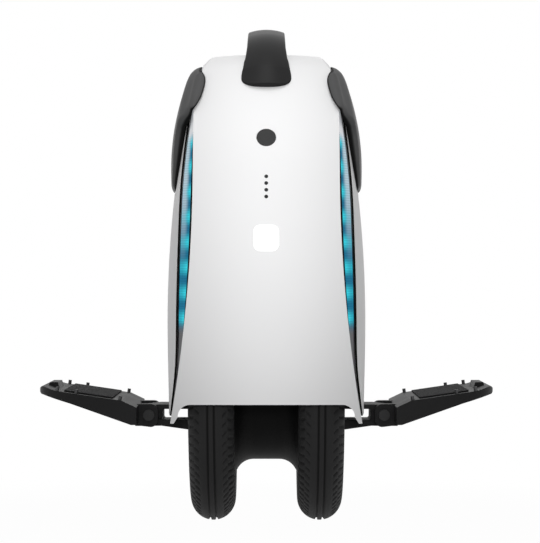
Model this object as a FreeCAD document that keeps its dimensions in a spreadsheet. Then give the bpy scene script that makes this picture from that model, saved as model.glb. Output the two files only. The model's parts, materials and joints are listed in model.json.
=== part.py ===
# Electric unicycle with two tyres on one hub-motor wheel.
# Millimetres, +Z up, +X to the right as seen from the front, front towards -Y.
# The origin lies on the ground under the middle of the axle.
import FreeCAD, Part
import math
import os
import re
import Sketcher

Vector = FreeCAD.Vector
os.makedirs("parts", exist_ok=True)
doc = FreeCAD.newDocument("ElectricUnicycle")

# Driving dimensions, one group for each part of the machine
general_sizes = {
    "fit_gap": 0.15,
    "running_gap": 0.05,
    "clear_gap": 0.35,
    "overrun": 6,
}
wheel_sizes = {
    "tyre_radius": 174,
    "tyre_width": 44,
    "tyre_spacing": 105,
    "tyre_wall": 4,
    "sidewall_radius": 30,
    "bead_radius": 127,
    "bead_width": 29.4,
    "bead_height": 5,
    "tube_radius": 15.5,
    "tube_wall": 1.5,
    "drum_radius": 113.6,
    "drum_flat": 25.7,
    "drum_width": 58.2,
    "cove_radius": 18,
    "flange_height": 4,
    "flange_wall": 2.5,
    "well_depth": 6,
    "well_width": 18,
    "well_slope": 2,
    "dish_radius": 118,
    "drum_bore": 107,
    "cover_plane": 44,
    "cover_radius": 113,
    "cover_wall": 5,
    "spigot_depth": 4,
    "spigot_wall": 6,
    "hub_boss_radius": 30,
    "hub_boss_inner": 35,
    "hub_boss_outer": 51,
    "cover_screw_radius": 2,
    "cover_screw_head": 3.6,
    "cover_screw_head_height": 2.5,
    "cover_screw_length": 12,
    "valve_radius": 3,
    "valve_tip": 96,
    "valve_side": 4,
}
motor_sizes = {
    "axle_radius": 10,
    "axle_end_radius": 8,
    "axle_length": 152,
    "bearing_radius": 23.5,
    "bearing_width": 14,
    "magnet_wall": 7,
    "magnet_width": 44,
    "air_gap": 1,
    "stator_width": 32,
    "stator_web": 5,
    "stator_hub_width": 60,
    "stator_hub_radius": 18,
    "stator_ring_radius": 66,
    "slot_floor": 74,
    "slot_width": 8,
    "coil_gap": 0.3,
    "coil_overhang": 5,
    "nut_across": 24,
    "nut_height": 8,
    "washer_radius": 15,
    "washer_wall": 2,
}
body_sizes = {
    "front_radius": 302,
    "front_reach": 205,
    "front_middle": 240,
    "deck_z": 456,
    "deck_corner": 40,
    "panel_wall": 3,
    "top_half": 51.4,
    "shoulder_half": 60.6,
    "shoulder_z": 442,
    "waist_half": 68.5,
    "waist_top": 402,
    "waist_low": 336,
    "flare_radius": 1256,
    "foot_z": 104,
    "apron_z": 123,
    "apron_half": 83,
    "apron_corner": 12,
    "foot_inner": 87.4,
    "seam_y": 66,
    "shell_half": 98,
    "shell_wall": 2.5,
    "shell_low": 112,
    "shell_high": 452.5,
    "seam_inset": 26,
    "trim_width": 2,
    "trim_depth": 2.7,
    "strip_low": 113,
    "strip_high": 447,
    "strip_tuck": 1.5,
    "strip_wall": 2,
    "light_board_wall": 1,
    "pad_low": 326,
    "pad_round": 46,
    "pad_base": 105,
    "pad_reach": 165,
    "pad_high": 447,
    "pad_thickness": 11.6,
    "pad_edge": 2,
}
handle_sizes = {
    "handle_top": 488,
    "handle_crown": 314,
    "handle_depth": 22,
    "crown_reach": 70,
    "grip_reach": 55,
    "grip_end_drop": 18,
    "grip_end_reach": 84,
    "leg_z": 443,
    "leg_stand": 6,
    "toe_z": 423,
    "toe_stand": 2.6,
    "shoulder_bend": 119.4,
    "grip_bend": 50,
    "grip_half": 17.9,
    "grip_round": 54,
    "neck_half": 20.1,
    "neck_z": 454,
    "step_half": 21.5,
    "step_z": 452.5,
    "base_half": 24,
    "base_z": 434,
    "toe_half": 20.4,
    "toe_corner_z": 426.5,
    "toe_round": 62,
    "well_half": 46.5,
    "well_reach": 60.5,
    "well_floor": 428,
    "well_wall": 2.5,
    "handle_screw_radius": 2,
    "handle_screw_head": 3.5,
    "handle_screw_head_height": 3,
    "handle_screw_grip": 3.4,
    "handle_screw_half": 12,
    "handle_screw_z": 438,
}
light_sizes = {
    "button_z": 373,
    "button_radius": 9,
    "button_gap": 0.3,
    "button_proud": 0.4,
    "button_flange": 11,
    "button_flange_wall": 1.2,
    "button_travel": 1.2,
    "switch_radius": 15,
    "switch_cavity": 12,
    "switch_wall": 1.6,
    "dot_top_z": 336,
    "dot_pitch": 6.3,
    "dot_radius": 1.75,
    "dot_board_width": 14,
    "dot_board_margin": 6,
    "dot_board_wall": 1.6,
    "headlight_z": 278.5,
    "headlight_width": 24,
    "headlight_height": 24.5,
    "headlight_corner": 6.5,
    "headlight_wall": 5,
    "headlight_board_margin": 4,
    "headlight_board_wall": 3,
    "tail_z": 392,
    "tail_width": 64,
    "tail_height": 14,
    "tail_corner": 5,
    "tail_wall": 5,
    "tail_board_margin": 3,
    "tail_board_wall": 2,
    "port_z": 335,
    "port_flange": 13,
    "port_flange_wall": 2,
    "port_body": 9.5,
    "port_depth": 20,
    "port_bore": 6,
    "port_bore_depth": 14,
    "cap_wall": 2.5,
    "cap_radius": 12,
    "cap_pin_radius": 1.2,
    "cap_knuckle": 2.6,
    "cap_tab_half": 4,
    "cap_ear_wall": 2,
}
inside_sizes = {
    "arch_gap": 5,
    "arch_wall": 2.5,
    "arch_low": 132,
    "plate_inner": 77,
    "plate_wall": 3,
    "plate_reach": 110,
    "plate_low": 120,
    "plate_high": 362,
    "plate_shoulder": 300,
    "plate_top_reach": 50,
    "shelf_z": 345.5,
    "shelf_wall": 3,
    "shelf_inner": 50,
    "battery_half": 58,
    "battery_near": 72,
    "battery_far": 136,
    "battery_height": 62,
    "battery_round": 6,
    "sink_half": 50,
    "sink_reach": 55,
    "sink_height": 13,
    "sink_base": 4,
    "fin_width": 4,
    "board_half": 48,
    "board_reach": 52,
    "board_wall": 1.8,
    "capacitor_radius": 9,
    "capacitor_height": 26,
    "capacitor_pitch": 22,
    "capacitor_row": 30,
}
pedal_sizes = {
    "hinge_x": 116,
    "hinge_z": 106,
    "hinge_pin_radius": 4,
    "pin_head_radius": 5.5,
    "pin_head_wall": 2,
    "knuckle_radius": 9,
    "hanger_inner": 56,
    "hanger_wall": 8,
    "hanger_half": 28,
    "hanger_low": 88,
    "hanger_top": 198,
    "shelf_bar": 6,
    "tab_wall": 3,
    "tab_height": 18,
    "arm_top": 116,
    "arm_notch_gap": 1.5,
    "arm_top_reach": 107,
    "arm_low_reach": 104,
    "arm_low": 94.8,
    "lip_start": 114,
    "lip_end": 130,
    "lip_low": 94.6,
    "lip_wall": 4.05,
    "window_inner": 68,
    "window_outer": 103,
    "window_low": 100.5,
    "window_high": 111.4,
    "window_corner": 2,
    "hanger_bolt_radius": 2.5,
    "hanger_bolt_head": 4.5,
    "hanger_bolt_head_height": 3,
    "hanger_bolt_pitch": 32,
    "pedal_length": 180,
    "pedal_tip_x": 221.5,
    "pedal_tip_z": 132,
    "pedal_nose_radius": 4,
    "pedal_lip_x": 214.5,
    "pedal_lip_inner": 206.5,
    "pedal_lip_z": 138,
    "pedal_lip_half": 28,
    "pedal_lip_slope": 2.5,
    "pedal_top_x": 205.5,
    "pedal_top_z": 132.2,
    "pedal_inner_x": 140,
    "pedal_inner_z": 122.6,
    "pedal_root_z": 116,
    "pedal_low_x": 131,
    "pedal_belly_x": 190,
    "pedal_belly_z": 119.8,
    "pedal_corner": 34,
    "ear_wall": 13,
    "ear_inner": 107,
    "ear_low": 94.3,
    "ear_rise": 2.3,
    "ear_top": 117,
    "ear_corner": 7,
    "grip_wall": 1.6,
    "grip_margin": 9,
    "grip_inset": 12,
    "stud_radius": 1.7,
    "stud_height": 4,
    "stud_edge": 7,
    "stud_sink": 3,
}
size_groups = (general_sizes, wheel_sizes, motor_sizes, body_sizes, handle_sizes,
               light_sizes, inside_sizes, pedal_sizes)

# Counts and tables of shares, chosen by hand
cover_screw_count = 6
slot_count = 18
dot_count = 4
capacitor_count = 3
fin_count = 9
level_count = 19
front_side = -1
rear_side = 1
shell_height_shares = (0, 0.14, 0.30, 0.47, 0.65, 0.82, 0.935, 0.975, 1)
shell_width_shares = (0.977, 0.996, 1, 0.976, 0.915, 0.82, 0.715, 0.655, 0.575)
seam_width_shares = (0.925, 0.872, 0.86, 0.845, 0.82, 0.757, 0.68, 0.622, 0.55)
seam_inset_shares = (0.54, 0.85, 1, 1, 1, 0.92, 0.77, 0.62, 0.5)
pad_height_shares = (0, 0.1, 0.2, 0.3, 0.4, 0.5, 0.6, 0.7, 0.8, 0.9, 1)
pad_crown_shares = (0.3, 0.5, 0.68, 0.83, 0.93, 0.99, 1, 0.99, 0.95, 0.86, 0.66)
stud_place_shares = (0.03, 0.68, 0.96)

sheet = doc.addObject("Spreadsheet::Sheet", "Dims")
aliases = []
for group in size_groups:
    for alias, size in group.items():
        aliases.append(alias)
        sheet.set("A%d" % len(aliases), alias)
        sheet.set("B%d" % len(aliases), str(size))
        sheet.setAlias("B%d" % len(aliases), alias)
doc.recompute()


# Helpers: sizes, sketches and simple solids bound to the sheet
def cells(expression):
    return re.sub(r"[a-z][a-z0-9_]*",
                  lambda word: "Dims." + word.group() if word.group() in aliases else word.group(),
                  expression)


def num(expression):
    return float(sheet.evalExpression(cells(expression)))


def bind(target, prop, expression):
    target.setExpression(prop, cells(expression))


def mirrored(half):
    # Closes an outline whose half runs from one point on the middle line to another
    whole = list(half)
    for index in range(len(half) - 1, -1, -1):
        across, up = half[index][:2]
        bend = half[index + 1][2:] if index + 1 < len(half) else ()
        if across == "0" and index in (0, len(half) - 1):
            if index == 0 and bend:
                whole.append((across, up) + tuple(bend))
            continue
        whole.append(("-(%s)" % across, up) + tuple(bend))
    return whole


def add_loop(sketch, corners):
    # A corner is (across, up), or (across, up, radius, turn) where an arc arrives at it
    places = [Vector(num(corner[0]), num(corner[1]), 0) for corner in corners]
    if (places[0] - places[-1]).Length < 1e-7:
        corners = [corners[0][:2] + tuple(corners[-1][2:])] + list(corners[1:-1])
        places = places[:-1]
    first = sketch.GeometryCount
    ends = []
    for index, start in enumerate(places):
        target = (index + 1) % len(places)
        stop = places[target]
        bend = corners[target][2:]
        if not bend:
            sketch.addGeometry(Part.LineSegment(start, stop), False)
            ends.append((1, 2))
            continue
        radius = num(bend[0])
        turn = bend[1]
        chord = stop - start
        left = Vector(-chord.y, chord.x, 0).normalize() * turn
        rise = math.sqrt(max(radius ** 2 - chord.Length ** 2 / 4, 0))
        centre = (start + stop) * 0.5 + left * rise
        opening, closing = (start, stop) if turn > 0 else (stop, start)
        angles = [math.atan2((end - centre).y, (end - centre).x) for end in (opening, closing)]
        circle = Part.Circle(centre, Vector(0, 0, 1), radius)
        sketch.addGeometry(Part.ArcOfCircle(circle, angles[0], angles[1]), False)
        ends.append((1, 2) if turn > 0 else (2, 1))
    for index in range(len(places)):
        corner = corners[index]
        edge = first + index
        before = first + (index - 1) % len(places)
        sketch.addConstraint(Sketcher.Constraint("Coincident", before, ends[index - 1][1],
                                                 edge, ends[index][0]))
        for kind, expression in (("DistanceX", corner[0]), ("DistanceY", corner[1])):
            number = sketch.addConstraint(Sketcher.Constraint(kind, -1, 1, edge, ends[index][0],
                                                              num(expression)))
            bind(sketch, "Constraints[%d]" % number, expression)
        if len(corner) > 2:
            number = sketch.addConstraint(Sketcher.Constraint("Radius", before, num(corner[2])))
            bind(sketch, "Constraints[%d]" % number, corner[2])


def sketch_on(body, plane, loops, level="0"):
    sketch = body.newObject("Sketcher::SketchObject", body.Name + "Outline")
    origin_plane = [face for face in body.Origin.OriginFeatures if face.Role == plane][0]
    sketch.AttachmentSupport = [(origin_plane, "")]
    sketch.MapMode = "FlatFace"
    bind(sketch, "AttachmentOffset.Base.z", level)
    for loop in loops:
        add_loop(sketch, loop)
    return sketch


def slab(name, plane, loops, low, high):
    # A padded outline between two levels along the axis that is square to the plane
    body = doc.addObject("PartDesign::Body", name)
    level = "-(%s)" % high if plane == "XZ_Plane" else low
    sketch = sketch_on(body, plane, loops, level)
    pad = body.newObject("PartDesign::Pad", name + "Pad")
    pad.Profile = sketch
    bind(pad, "Length", "(%s) - (%s)" % (high, low))
    return body


def spun(name, loops):
    # A ring about the axle, from an outline of sideways places and radii
    body = doc.addObject("PartDesign::Body", name)
    sketch = sketch_on(body, "XZ_Plane", loops)
    ring = body.newObject("PartDesign::Revolution", name + "Turn")
    ring.Profile = sketch
    ring.ReferenceAxis = (sketch, ["H_Axis"])
    bind(body, "Placement.Base.z", "tyre_radius")
    return body


def block(name, x_ends, y_ends, z_ends):
    box = doc.addObject("Part::Box", name)
    for size, letter, ends in (("Length", "x", x_ends), ("Width", "y", y_ends), ("Height", "z", z_ends)):
        bind(box, size, "(%s) - (%s)" % (ends[1], ends[0]))
        bind(box, "Placement.Base." + letter, ends[0])
    return box


def rod(name, start, direction, radius, length):
    round_bar = doc.addObject("Part::Cylinder", name)
    round_bar.Placement = FreeCAD.Placement(Vector(), FreeCAD.Rotation(Vector(0, 0, 1), direction))
    bind(round_bar, "Radius", radius)
    bind(round_bar, "Height", length)
    for letter, place in zip("xyz", start):
        bind(round_bar, "Placement.Base." + letter, place)
    return round_bar


def cut(name, base, tools):
    remainder = doc.addObject("Part::Cut", name)
    remainder.Base = base
    remainder.Tool = tools[0] if len(tools) == 1 else group_of(name + "Tools", tools)
    return remainder


def common(name, first, second):
    shared = doc.addObject("Part::Common", name)
    shared.Base = first
    shared.Tool = second
    return shared


def fuse(name, pieces):
    union = doc.addObject("Part::MultiFuse", name)
    union.Shapes = pieces
    union.Refine = True
    return union


def group_of(name, pieces):
    together = doc.addObject("Part::Compound", name)
    together.Links = pieces
    return together


def flipped(name, source, normal):
    image = doc.addObject("Part::Mirroring", name)
    image.Source = source
    image.Normal = normal
    return image


def formed(name, shape):
    piece = doc.addObject("Part::Feature", name)
    piece.Shape = shape
    return piece


nodes = {}


def node(name, piece):
    piece.Label = name
    nodes[name] = piece
    return piece


sideways = Vector(1, 0, 0)
lengthways = Vector(0, 1, 0)
upright = Vector(0, 0, 1)


def both_sides(name, right_piece):
    # The right piece and its mirror image on the left, as two nodes
    node("right_" + name, right_piece)
    node("left_" + name, flipped("left_" + name, right_piece, sideways))


# Wheel: tyres, tubes, rim casting, covers and bearings
tyre_mid = "tyre_spacing / 2"
crown_centre = "(tyre_radius - tyre_width / 2)"
bead_top = "(bead_radius + bead_height)"
cavity_half = "(tyre_width / 2 - tyre_wall)"
bead_inner = "(bead_width / 2 - tyre_wall)"
seat_radius = "(bead_radius - fit_gap)"
rim_inner = "(bead_width / 2 + fit_gap)"
rim_outer = "(bead_width / 2 + fit_gap + flange_wall)"
flange_radius = "(bead_radius + flange_height)"
well_radius = "(bead_radius - fit_gap - well_depth)"
cove_end = ("(drum_radius + cove_radius"
            " - sqrt(cove_radius ^ 2 - (drum_width / 2 - drum_flat / 2) ^ 2))")


def on_tyre(offset):
    return "%s + (%s)" % (tyre_mid, offset)


def tyre():
    # Cavity side from the crown to the right bead, round the tread, and back from the left bead
    corners = [
        ("0", "tyre_radius - tyre_wall", cavity_half, -1),
        (cavity_half, crown_centre, cavity_half, -1),
        (bead_inner, bead_top),
        (bead_inner, "bead_radius"),
        ("bead_width / 2", "bead_radius"),
        ("bead_width / 2", bead_top),
        ("tyre_width / 2", crown_centre, "sidewall_radius", 1),
        ("0", "tyre_radius", "tyre_width / 2", 1),
        ("-tyre_width / 2", crown_centre, "tyre_width / 2", 1),
        ("-bead_width / 2", bead_top, "sidewall_radius", 1),
        ("-bead_width / 2", "bead_radius"),
        ("-" + bead_inner, "bead_radius"),
        ("-" + bead_inner, bead_top),
        ("-" + cavity_half, crown_centre),
    ]
    return spun("RightTyre", [[(on_tyre(corner[0]),) + corner[1:] for corner in corners]])


def tube():
    # The tube lies against the crown of the tyre's cavity
    ring_radius = "tyre_radius - tyre_wall - clear_gap - tube_radius"
    rings = []
    for name, thickness in (("TubeOutside", "tube_radius"), ("TubeInside", "tube_radius - tube_wall")):
        ring = doc.addObject("Part::Torus", name)
        ring.Placement = FreeCAD.Placement(Vector(), FreeCAD.Rotation(upright, sideways))
        bind(ring, "Radius1", ring_radius)
        bind(ring, "Radius2", thickness)
        bind(ring, "Placement.Base.x", tyre_mid)
        bind(ring, "Placement.Base.z", "tyre_radius")
        rings.append(ring)
    return cut("RightTube", rings[0], rings[1:])


def rim_blank():
    half = [
        ("0", "drum_bore"),
        ("cover_plane", "drum_bore"),
        ("cover_plane", "cover_radius"),
        (on_tyre(rim_outer), "dish_radius"),
        (on_tyre(rim_outer), flange_radius),
        (on_tyre(rim_inner), flange_radius),
        (on_tyre(rim_inner), seat_radius),
        (on_tyre("well_width / 2 + well_slope"), seat_radius),
        (on_tyre("well_width / 2"), well_radius),
        (on_tyre("-well_width / 2"), well_radius),
        (on_tyre("-well_width / 2 - well_slope"), seat_radius),
        (on_tyre("-" + rim_inner), seat_radius),
        (on_tyre("-" + rim_inner), flange_radius),
        (on_tyre("-" + rim_outer), flange_radius),
        ("drum_width / 2", cove_end),
        ("drum_flat / 2", "drum_radius", "cove_radius", -1),
    ]
    left = [("-(%s)" % corner[0],) + tuple(corner[1:2]) for corner in half]
    loop = half + [left[15], left[14] + ("cove_radius", -1)] + left[13:0:-1]
    return spun("RimBlank", [loop[1:]])


def cover_screw_places():
    return [math.radians(360 / cover_screw_count * turn) for turn in range(cover_screw_count)]


def around_axle(reach, angle):
    return ("(%s) * %.9f" % (reach, math.cos(angle)),
            "tyre_radius + (%s) * %.9f" % (reach, math.sin(angle)))


def screw_ring(prefix, radius, start, length, side):
    circle = "(drum_bore + cover_radius) / 2"
    bars = []
    for number, angle in enumerate(cover_screw_places()):
        y_place, z_place = around_axle(circle, angle)
        bars.append(rod("%s%d" % (prefix, number), ("%d * (%s)" % (side, start), y_place, z_place),
                        sideways * side, radius, length))
    return bars


def hub_cover():
    bore = "bearing_radius + fit_gap"
    outer_face = "cover_plane + cover_wall"
    spigot_radius = "(drum_bore - fit_gap)"
    loop = [
        ("hub_boss_inner", bore),
        ("hub_boss_outer", bore),
        ("hub_boss_outer", "hub_boss_radius"),
        (outer_face, "hub_boss_radius"),
        (outer_face, "cover_radius"),
        ("cover_plane", "cover_radius"),
        ("cover_plane", spigot_radius),
        ("cover_plane - spigot_depth", spigot_radius),
        ("cover_plane - spigot_depth", spigot_radius + " - spigot_wall"),
        ("cover_plane", spigot_radius + " - spigot_wall"),
        ("cover_plane", "hub_boss_radius"),
        ("hub_boss_inner", "hub_boss_radius"),
    ]
    blank = spun("CoverBlank", [loop])
    holes = screw_ring("CoverHole", "cover_screw_radius + fit_gap", "cover_plane - overrun",
                       "cover_wall + 2 * overrun", 1)
    return cut("RightCover", blank, holes)


def valve(prefix, side, radius, low, high):
    return rod(prefix + str(side), ("%d * (%s + valve_side)" % (side, tyre_mid), "0", "tyre_radius + " + low),
               upright, radius, "(%s) - (%s)" % (high, low))


def screws():
    pieces = []
    head_face = "cover_plane + cover_wall"
    for side in (-1, 1):
        shanks = screw_ring("CoverShank%d" % (side + 1), "cover_screw_radius",
                            head_face + " + cover_screw_head_height - cover_screw_length",
                            "cover_screw_length", side)
        heads = screw_ring("CoverHead%d" % (side + 1), "cover_screw_head", head_face,
                           "cover_screw_head_height", side)
        for number, parts in enumerate(zip(shanks, heads)):
            pieces.append(fuse("CoverScrew%d_%d" % (side + 1, number), list(parts)))
    return pieces


def ring_pair(name, outlines):
    return group_of(name, [spun("%s%d" % (name, number), [loop]) for number, loop in enumerate(outlines)])


def square_ring(low, high, inner, outer):
    return [(low, inner), (high, inner), (high, outer), (low, outer)]


both_sides("tyre", tyre())
both_sides("inner_tube", tube())
rim_tools = []
for side in (-1, 1):
    rim_tools += screw_ring("RimHole%d" % (side + 1), "cover_screw_radius + fit_gap",
                            "cover_plane + cover_wall - cover_screw_length",
                            "cover_screw_length", side)
    rim_tools.append(valve("RimValve", side, "valve_radius + fit_gap", "drum_bore", "bead_radius"))
node("wheel_rim", cut("WheelRim", rim_blank(), rim_tools))
both_sides("hub_cover", hub_cover())
node("cover_screws", group_of("CoverScrews", screws()))
tube_inside = "(tyre_radius - tyre_wall - clear_gap - 2 * tube_radius)"
node("valve_stems", group_of("ValveStems", [
    valve("Valve", side, "valve_radius", "valve_tip", tube_inside + " - clear_gap") for side in (-1, 1)]))
bearing_inner = "(hub_boss_inner + hub_boss_outer - bearing_width) / 2"
bearing_outer = "(hub_boss_inner + hub_boss_outer + bearing_width) / 2"
bearing_bore = "axle_radius + running_gap"
node("wheel_bearings", ring_pair("Bearings", [
    square_ring("%d * (%s)" % (side, bearing_inner), "%d * (%s)" % (side, bearing_outer),
                bearing_bore, "bearing_radius") for side in (-1, 1)]))
magnet_outer = "drum_bore - fit_gap"
magnet_inner = "drum_bore - fit_gap - magnet_wall"
node("magnet_ring", spun("MagnetRing", [
    square_ring("-magnet_width / 2", "magnet_width / 2", magnet_inner, magnet_outer)]))

# Motor parts that stay still: axle, stator, nuts and washers
stator_radius = "(drum_bore - fit_gap - magnet_wall - air_gap)"
hanger_outer = "(hanger_inner + hanger_wall)"
node("axle", spun("Axle", [[
    ("-axle_length / 2", "0"),
    ("axle_length / 2", "0"),
    ("axle_length / 2", "axle_end_radius"),
    ("hanger_inner", "axle_end_radius"),
    ("hanger_inner", "axle_radius"),
    ("-hanger_inner", "axle_radius"),
    ("-hanger_inner", "axle_end_radius"),
    ("-axle_length / 2", "axle_end_radius"),
]]))


def spokes(prefix, floor, top, width, half_length):
    # Radial bars around the axle, one for each slot of the stator
    bars = []
    for number in range(slot_count):
        bar = doc.addObject("Part::Box", "%s%d" % (prefix, number))
        bind(bar, "Length", "2 * " + half_length)
        bind(bar, "Width", width)
        bind(bar, "Height", "%s - %s" % (top, floor))
        turn = FreeCAD.Rotation(sideways, 360 / slot_count * number)
        corner = turn.multVec(Vector(-num(half_length), -num(width) / 2, num(floor)))
        bar.Placement = FreeCAD.Placement(corner + upright * num("tyre_radius"), turn)
        bars.append(bar)
    return bars


stator_blank = spun("StatorBlank", [mirrored([
    ("0", "axle_radius + fit_gap"),
    ("stator_hub_width / 2", "axle_radius + fit_gap"),
    ("stator_hub_width / 2", "stator_hub_radius"),
    ("stator_web / 2", "stator_hub_radius"),
    ("stator_web / 2", "stator_ring_radius"),
    ("stator_width / 2", "stator_ring_radius"),
    ("stator_width / 2", stator_radius),
    ("0", stator_radius),
])])
slot_tools = spokes("Slot", "slot_floor", "(%s + overrun)" % stator_radius, "slot_width",
                    "(stator_width / 2 + overrun)")
node("stator_core", cut("StatorCore", stator_blank, slot_tools))
node("stator_coils", group_of("StatorCoils", spokes(
    "Coil", "(slot_floor + coil_gap)", "(%s - 2 * air_gap)" % stator_radius,
    "(slot_width - 2 * coil_gap)", "(stator_width / 2 + coil_overhang)")))
nut_start = "(%s + washer_wall)" % hanger_outer
nuts = []
for side in (-1, 1):
    hexagon = doc.addObject("Part::Prism", "NutHexagon%d" % (side + 1))
    hexagon.Polygon = 6
    hexagon.Placement = FreeCAD.Placement(Vector(), FreeCAD.Rotation(upright, sideways * side))
    bind(hexagon, "Circumradius", "nut_across / sqrt(3)")
    bind(hexagon, "Height", "nut_height")
    bind(hexagon, "Placement.Base.x", "%d * %s" % (side, nut_start))
    bind(hexagon, "Placement.Base.z", "tyre_radius")
    thread = rod("NutThread%d" % (side + 1), ("%d * (%s - overrun)" % (side, nut_start), "0", "tyre_radius"),
                 sideways * side, "axle_end_radius + running_gap", "nut_height + 2 * overrun")
    nuts.append(cut("Nut%d" % (side + 1), hexagon, [thread]))
node("axle_nuts", group_of("AxleNuts", nuts))
node("axle_washers", ring_pair("Washers", [
    square_ring("%d * %s" % (side, hanger_outer), "%d * %s" % (side, nut_start),
                "axle_end_radius + fit_gap", "washer_radius") for side in (-1, 1)]))


# Body forms as functions of height, for the lofted pieces
front_centre = "(front_radius - front_reach)"
corner_rise = "(deck_z - deck_corner - front_middle)"
corner_run = "sqrt((front_radius - deck_corner) ^ 2 - %s ^ 2)" % corner_rise
corner_y = "(%s - %s)" % (corner_run, front_centre)


def front_reach_at(height, depth=0):
    # How far a layer of the front panel, deep under its outer face, stands from the axle's plane
    radius = num("front_radius") - depth
    bend_start = num("front_middle + %s / (front_radius - deck_corner)" % corner_rise + " * %r" % radius)
    if height > bend_start:
        rise = height - num("deck_z - deck_corner")
        return num(corner_y) + math.sqrt((num("deck_corner") - depth) ** 2 - rise ** 2)
    return math.sqrt(radius ** 2 - (height - num("front_middle")) ** 2) - num(front_centre)


def panel_half_at(height):
    # Half the width of the front panel
    if height >= num("shoulder_z"):
        share = (height - num("shoulder_z")) / num("deck_z - shoulder_z")
        return num("shoulder_half") + share * num("top_half - shoulder_half")
    if height >= num("waist_top"):
        share = (height - num("waist_top")) / num("shoulder_z - waist_top")
        return num("waist_half") + share * num("shoulder_half - waist_half")
    drop = max(num("waist_low") - height, 0)
    flare = num("flare_radius")
    return num("waist_half") + flare - math.sqrt(flare ** 2 - drop ** 2)


def smooth_shares(places, values, where):
    # A cubic through the table, with slopes taken across the neighbours
    last = len(places) - 1
    index = max([0] + [number for number in range(last) if places[number] <= where])
    span = places[index + 1] - places[index]

    def slope(number):
        low = max(number - 1, 0)
        high = min(number + 1, last)
        return (values[high] - values[low]) / (places[high] - places[low]) * span

    step = min(max((where - places[index]) / span, 0), 1)
    return ((1 + 2 * step) * (1 - step) ** 2 * values[index] + step * (1 - step) ** 2 * slope(index)
            + step ** 2 * (3 - 2 * step) * values[index + 1] + step ** 2 * (step - 1) * slope(index + 1))


def shell_share(height):
    return (height - num("shell_low")) / num("shell_high - shell_low")


def shell_half_at(height):
    return num("shell_half") * smooth_shares(shell_height_shares, shell_width_shares, shell_share(height))


def seam_half_at(height):
    return num("shell_half") * smooth_shares(shell_height_shares, seam_width_shares, shell_share(height))


def seam_reach_at(height):
    inset = num("seam_inset") * smooth_shares(shell_height_shares, seam_inset_shares, shell_share(height))
    return front_reach_at(height) - inset


def shell_arc_at(height):
    # Centre and radius of the shell's outline at a height, through its seam and its middle
    middle = shell_half_at(height)
    drop = middle - seam_half_at(height)
    radius = (seam_reach_at(height) ** 2 + drop ** 2) / (2 * drop)
    return middle - radius, radius


def arc_edge(centre, radius, reach, height):
    # An arc about a point on the X axis, from the rear end to the front end
    def place(y):
        return Vector(centre + math.sqrt(radius ** 2 - y ** 2), y, height)
    return Part.Arc(place(reach), place(0), place(-reach)).toShape()


def closed_wire(first, second):
    # Two arcs whose ends are joined by lines
    ends = [edge.valueAt(edge.FirstParameter) for edge in (first, second)]
    tails = [edge.valueAt(edge.LastParameter) for edge in (first, second)]
    return Part.Wire([first, Part.makeLine(tails[0], tails[1]), second, Part.makeLine(ends[1], ends[0])])


def polygon(points):
    return Part.makePolygon(points + points[:1])


def lofted(levels, ruled=False):
    # A closed solid through level outlines, turned the right way out
    solid = Part.makeLoft(levels, True, ruled)
    if solid.Volume < 0:
        solid.reverse()
    return solid


def steps(low, high, count):
    return [low + (high - low) * number / (count - 1) for number in range(count)]


# Ribbon: front panel, rear panel and the deck between them
def ribbon_outline(outset, low, seam):
    # Side outline of the front half as a band that lies deeper than the outer face by outset
    def level(depth):
        radius = "(front_radius - (%s))" % depth
        bend = "(deck_corner - (%s))" % depth
        foot = "(%s - sqrt(%s ^ 2 - (%s - front_middle) ^ 2))" % (front_centre, radius, low)
        join = "(%s / (front_radius - deck_corner))" % radius
        return [(foot, low),
                ("%s - %s * %s" % (front_centre, corner_run, join),
                 "front_middle + %s * %s" % (corner_rise, join), radius, -1),
                ("-" + corner_y, "deck_z - (%s)" % depth, bend, -1),
                ("-(%s)" % seam, "deck_z - (%s)" % depth)]
    outside = level(outset[0])
    inside = level(outset[1])
    return outside + [inside[3][:2], inside[2][:2], inside[1][:2] + inside[2][2:3] + (1,),
                      inside[0][:2] + inside[1][2:3] + (1,)]


def band(name, outset, low, seam):
    return slab(name, "YZ_Plane", [ribbon_outline(outset, low, seam)],
                "-(waist_half + shell_half)", "waist_half + shell_half")


foot_half = "(waist_half + flare_radius - sqrt(flare_radius ^ 2 - (waist_low - foot_z) ^ 2))"
face_half = [
    ("0", "deck_z"),
    ("top_half", "deck_z"),
    ("shoulder_half", "shoulder_z"),
    ("waist_half", "waist_top"),
    ("waist_half", "waist_low"),
    (foot_half, "foot_z", "flare_radius", 1),
    ("foot_inner", "foot_z"),
    ("apron_half", "apron_z - apron_corner"),
    ("apron_half - apron_corner", "apron_z", "apron_corner", 1),
    ("0", "apron_z"),
]


def ribbon_half(name, side):
    # The band seen from the side, trimmed to the face outline seen from the front
    face = slab(name + "Face", "XZ_Plane", [mirrored(face_half)],
                "-(front_reach + overrun)", "0")
    ribbon = band(name + "Band", ("0", "panel_wall"), "foot_z", "seam_y + fit_gap")
    strip = common(name + "Half", ribbon, face)
    return strip if side == front_side else flipped(name + "Turned", strip, lengthways)


# Shells, trims, light strips and pads: lofts through level outlines
def on_side(point, side):
    return Vector(point.x, point.y * -side, point.z)


pad_heights = steps(num("pad_low"), num("pad_high"), level_count)
shell_heights = steps(num("shell_low"), num("pad_low"), level_count)[:-1] + pad_heights + [num("shell_high")]


def shell():
    wall = num("shell_wall")
    back = num("trim_depth + clear_gap")
    levels = []
    for height in shell_heights:
        centre, radius = shell_arc_at(height)
        reach = seam_reach_at(height) - back
        outer = arc_edge(centre, radius, reach, height)
        inner = arc_edge(centre - wall, radius, reach, height)
        levels.append(closed_wire(outer, inner))
    return formed("RightShell", lofted(levels, True))


def trim_inner_at(height):
    return max(seam_half_at(height) - num("trim_width"), panel_half_at(height) + num("clear_gap"))


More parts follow.
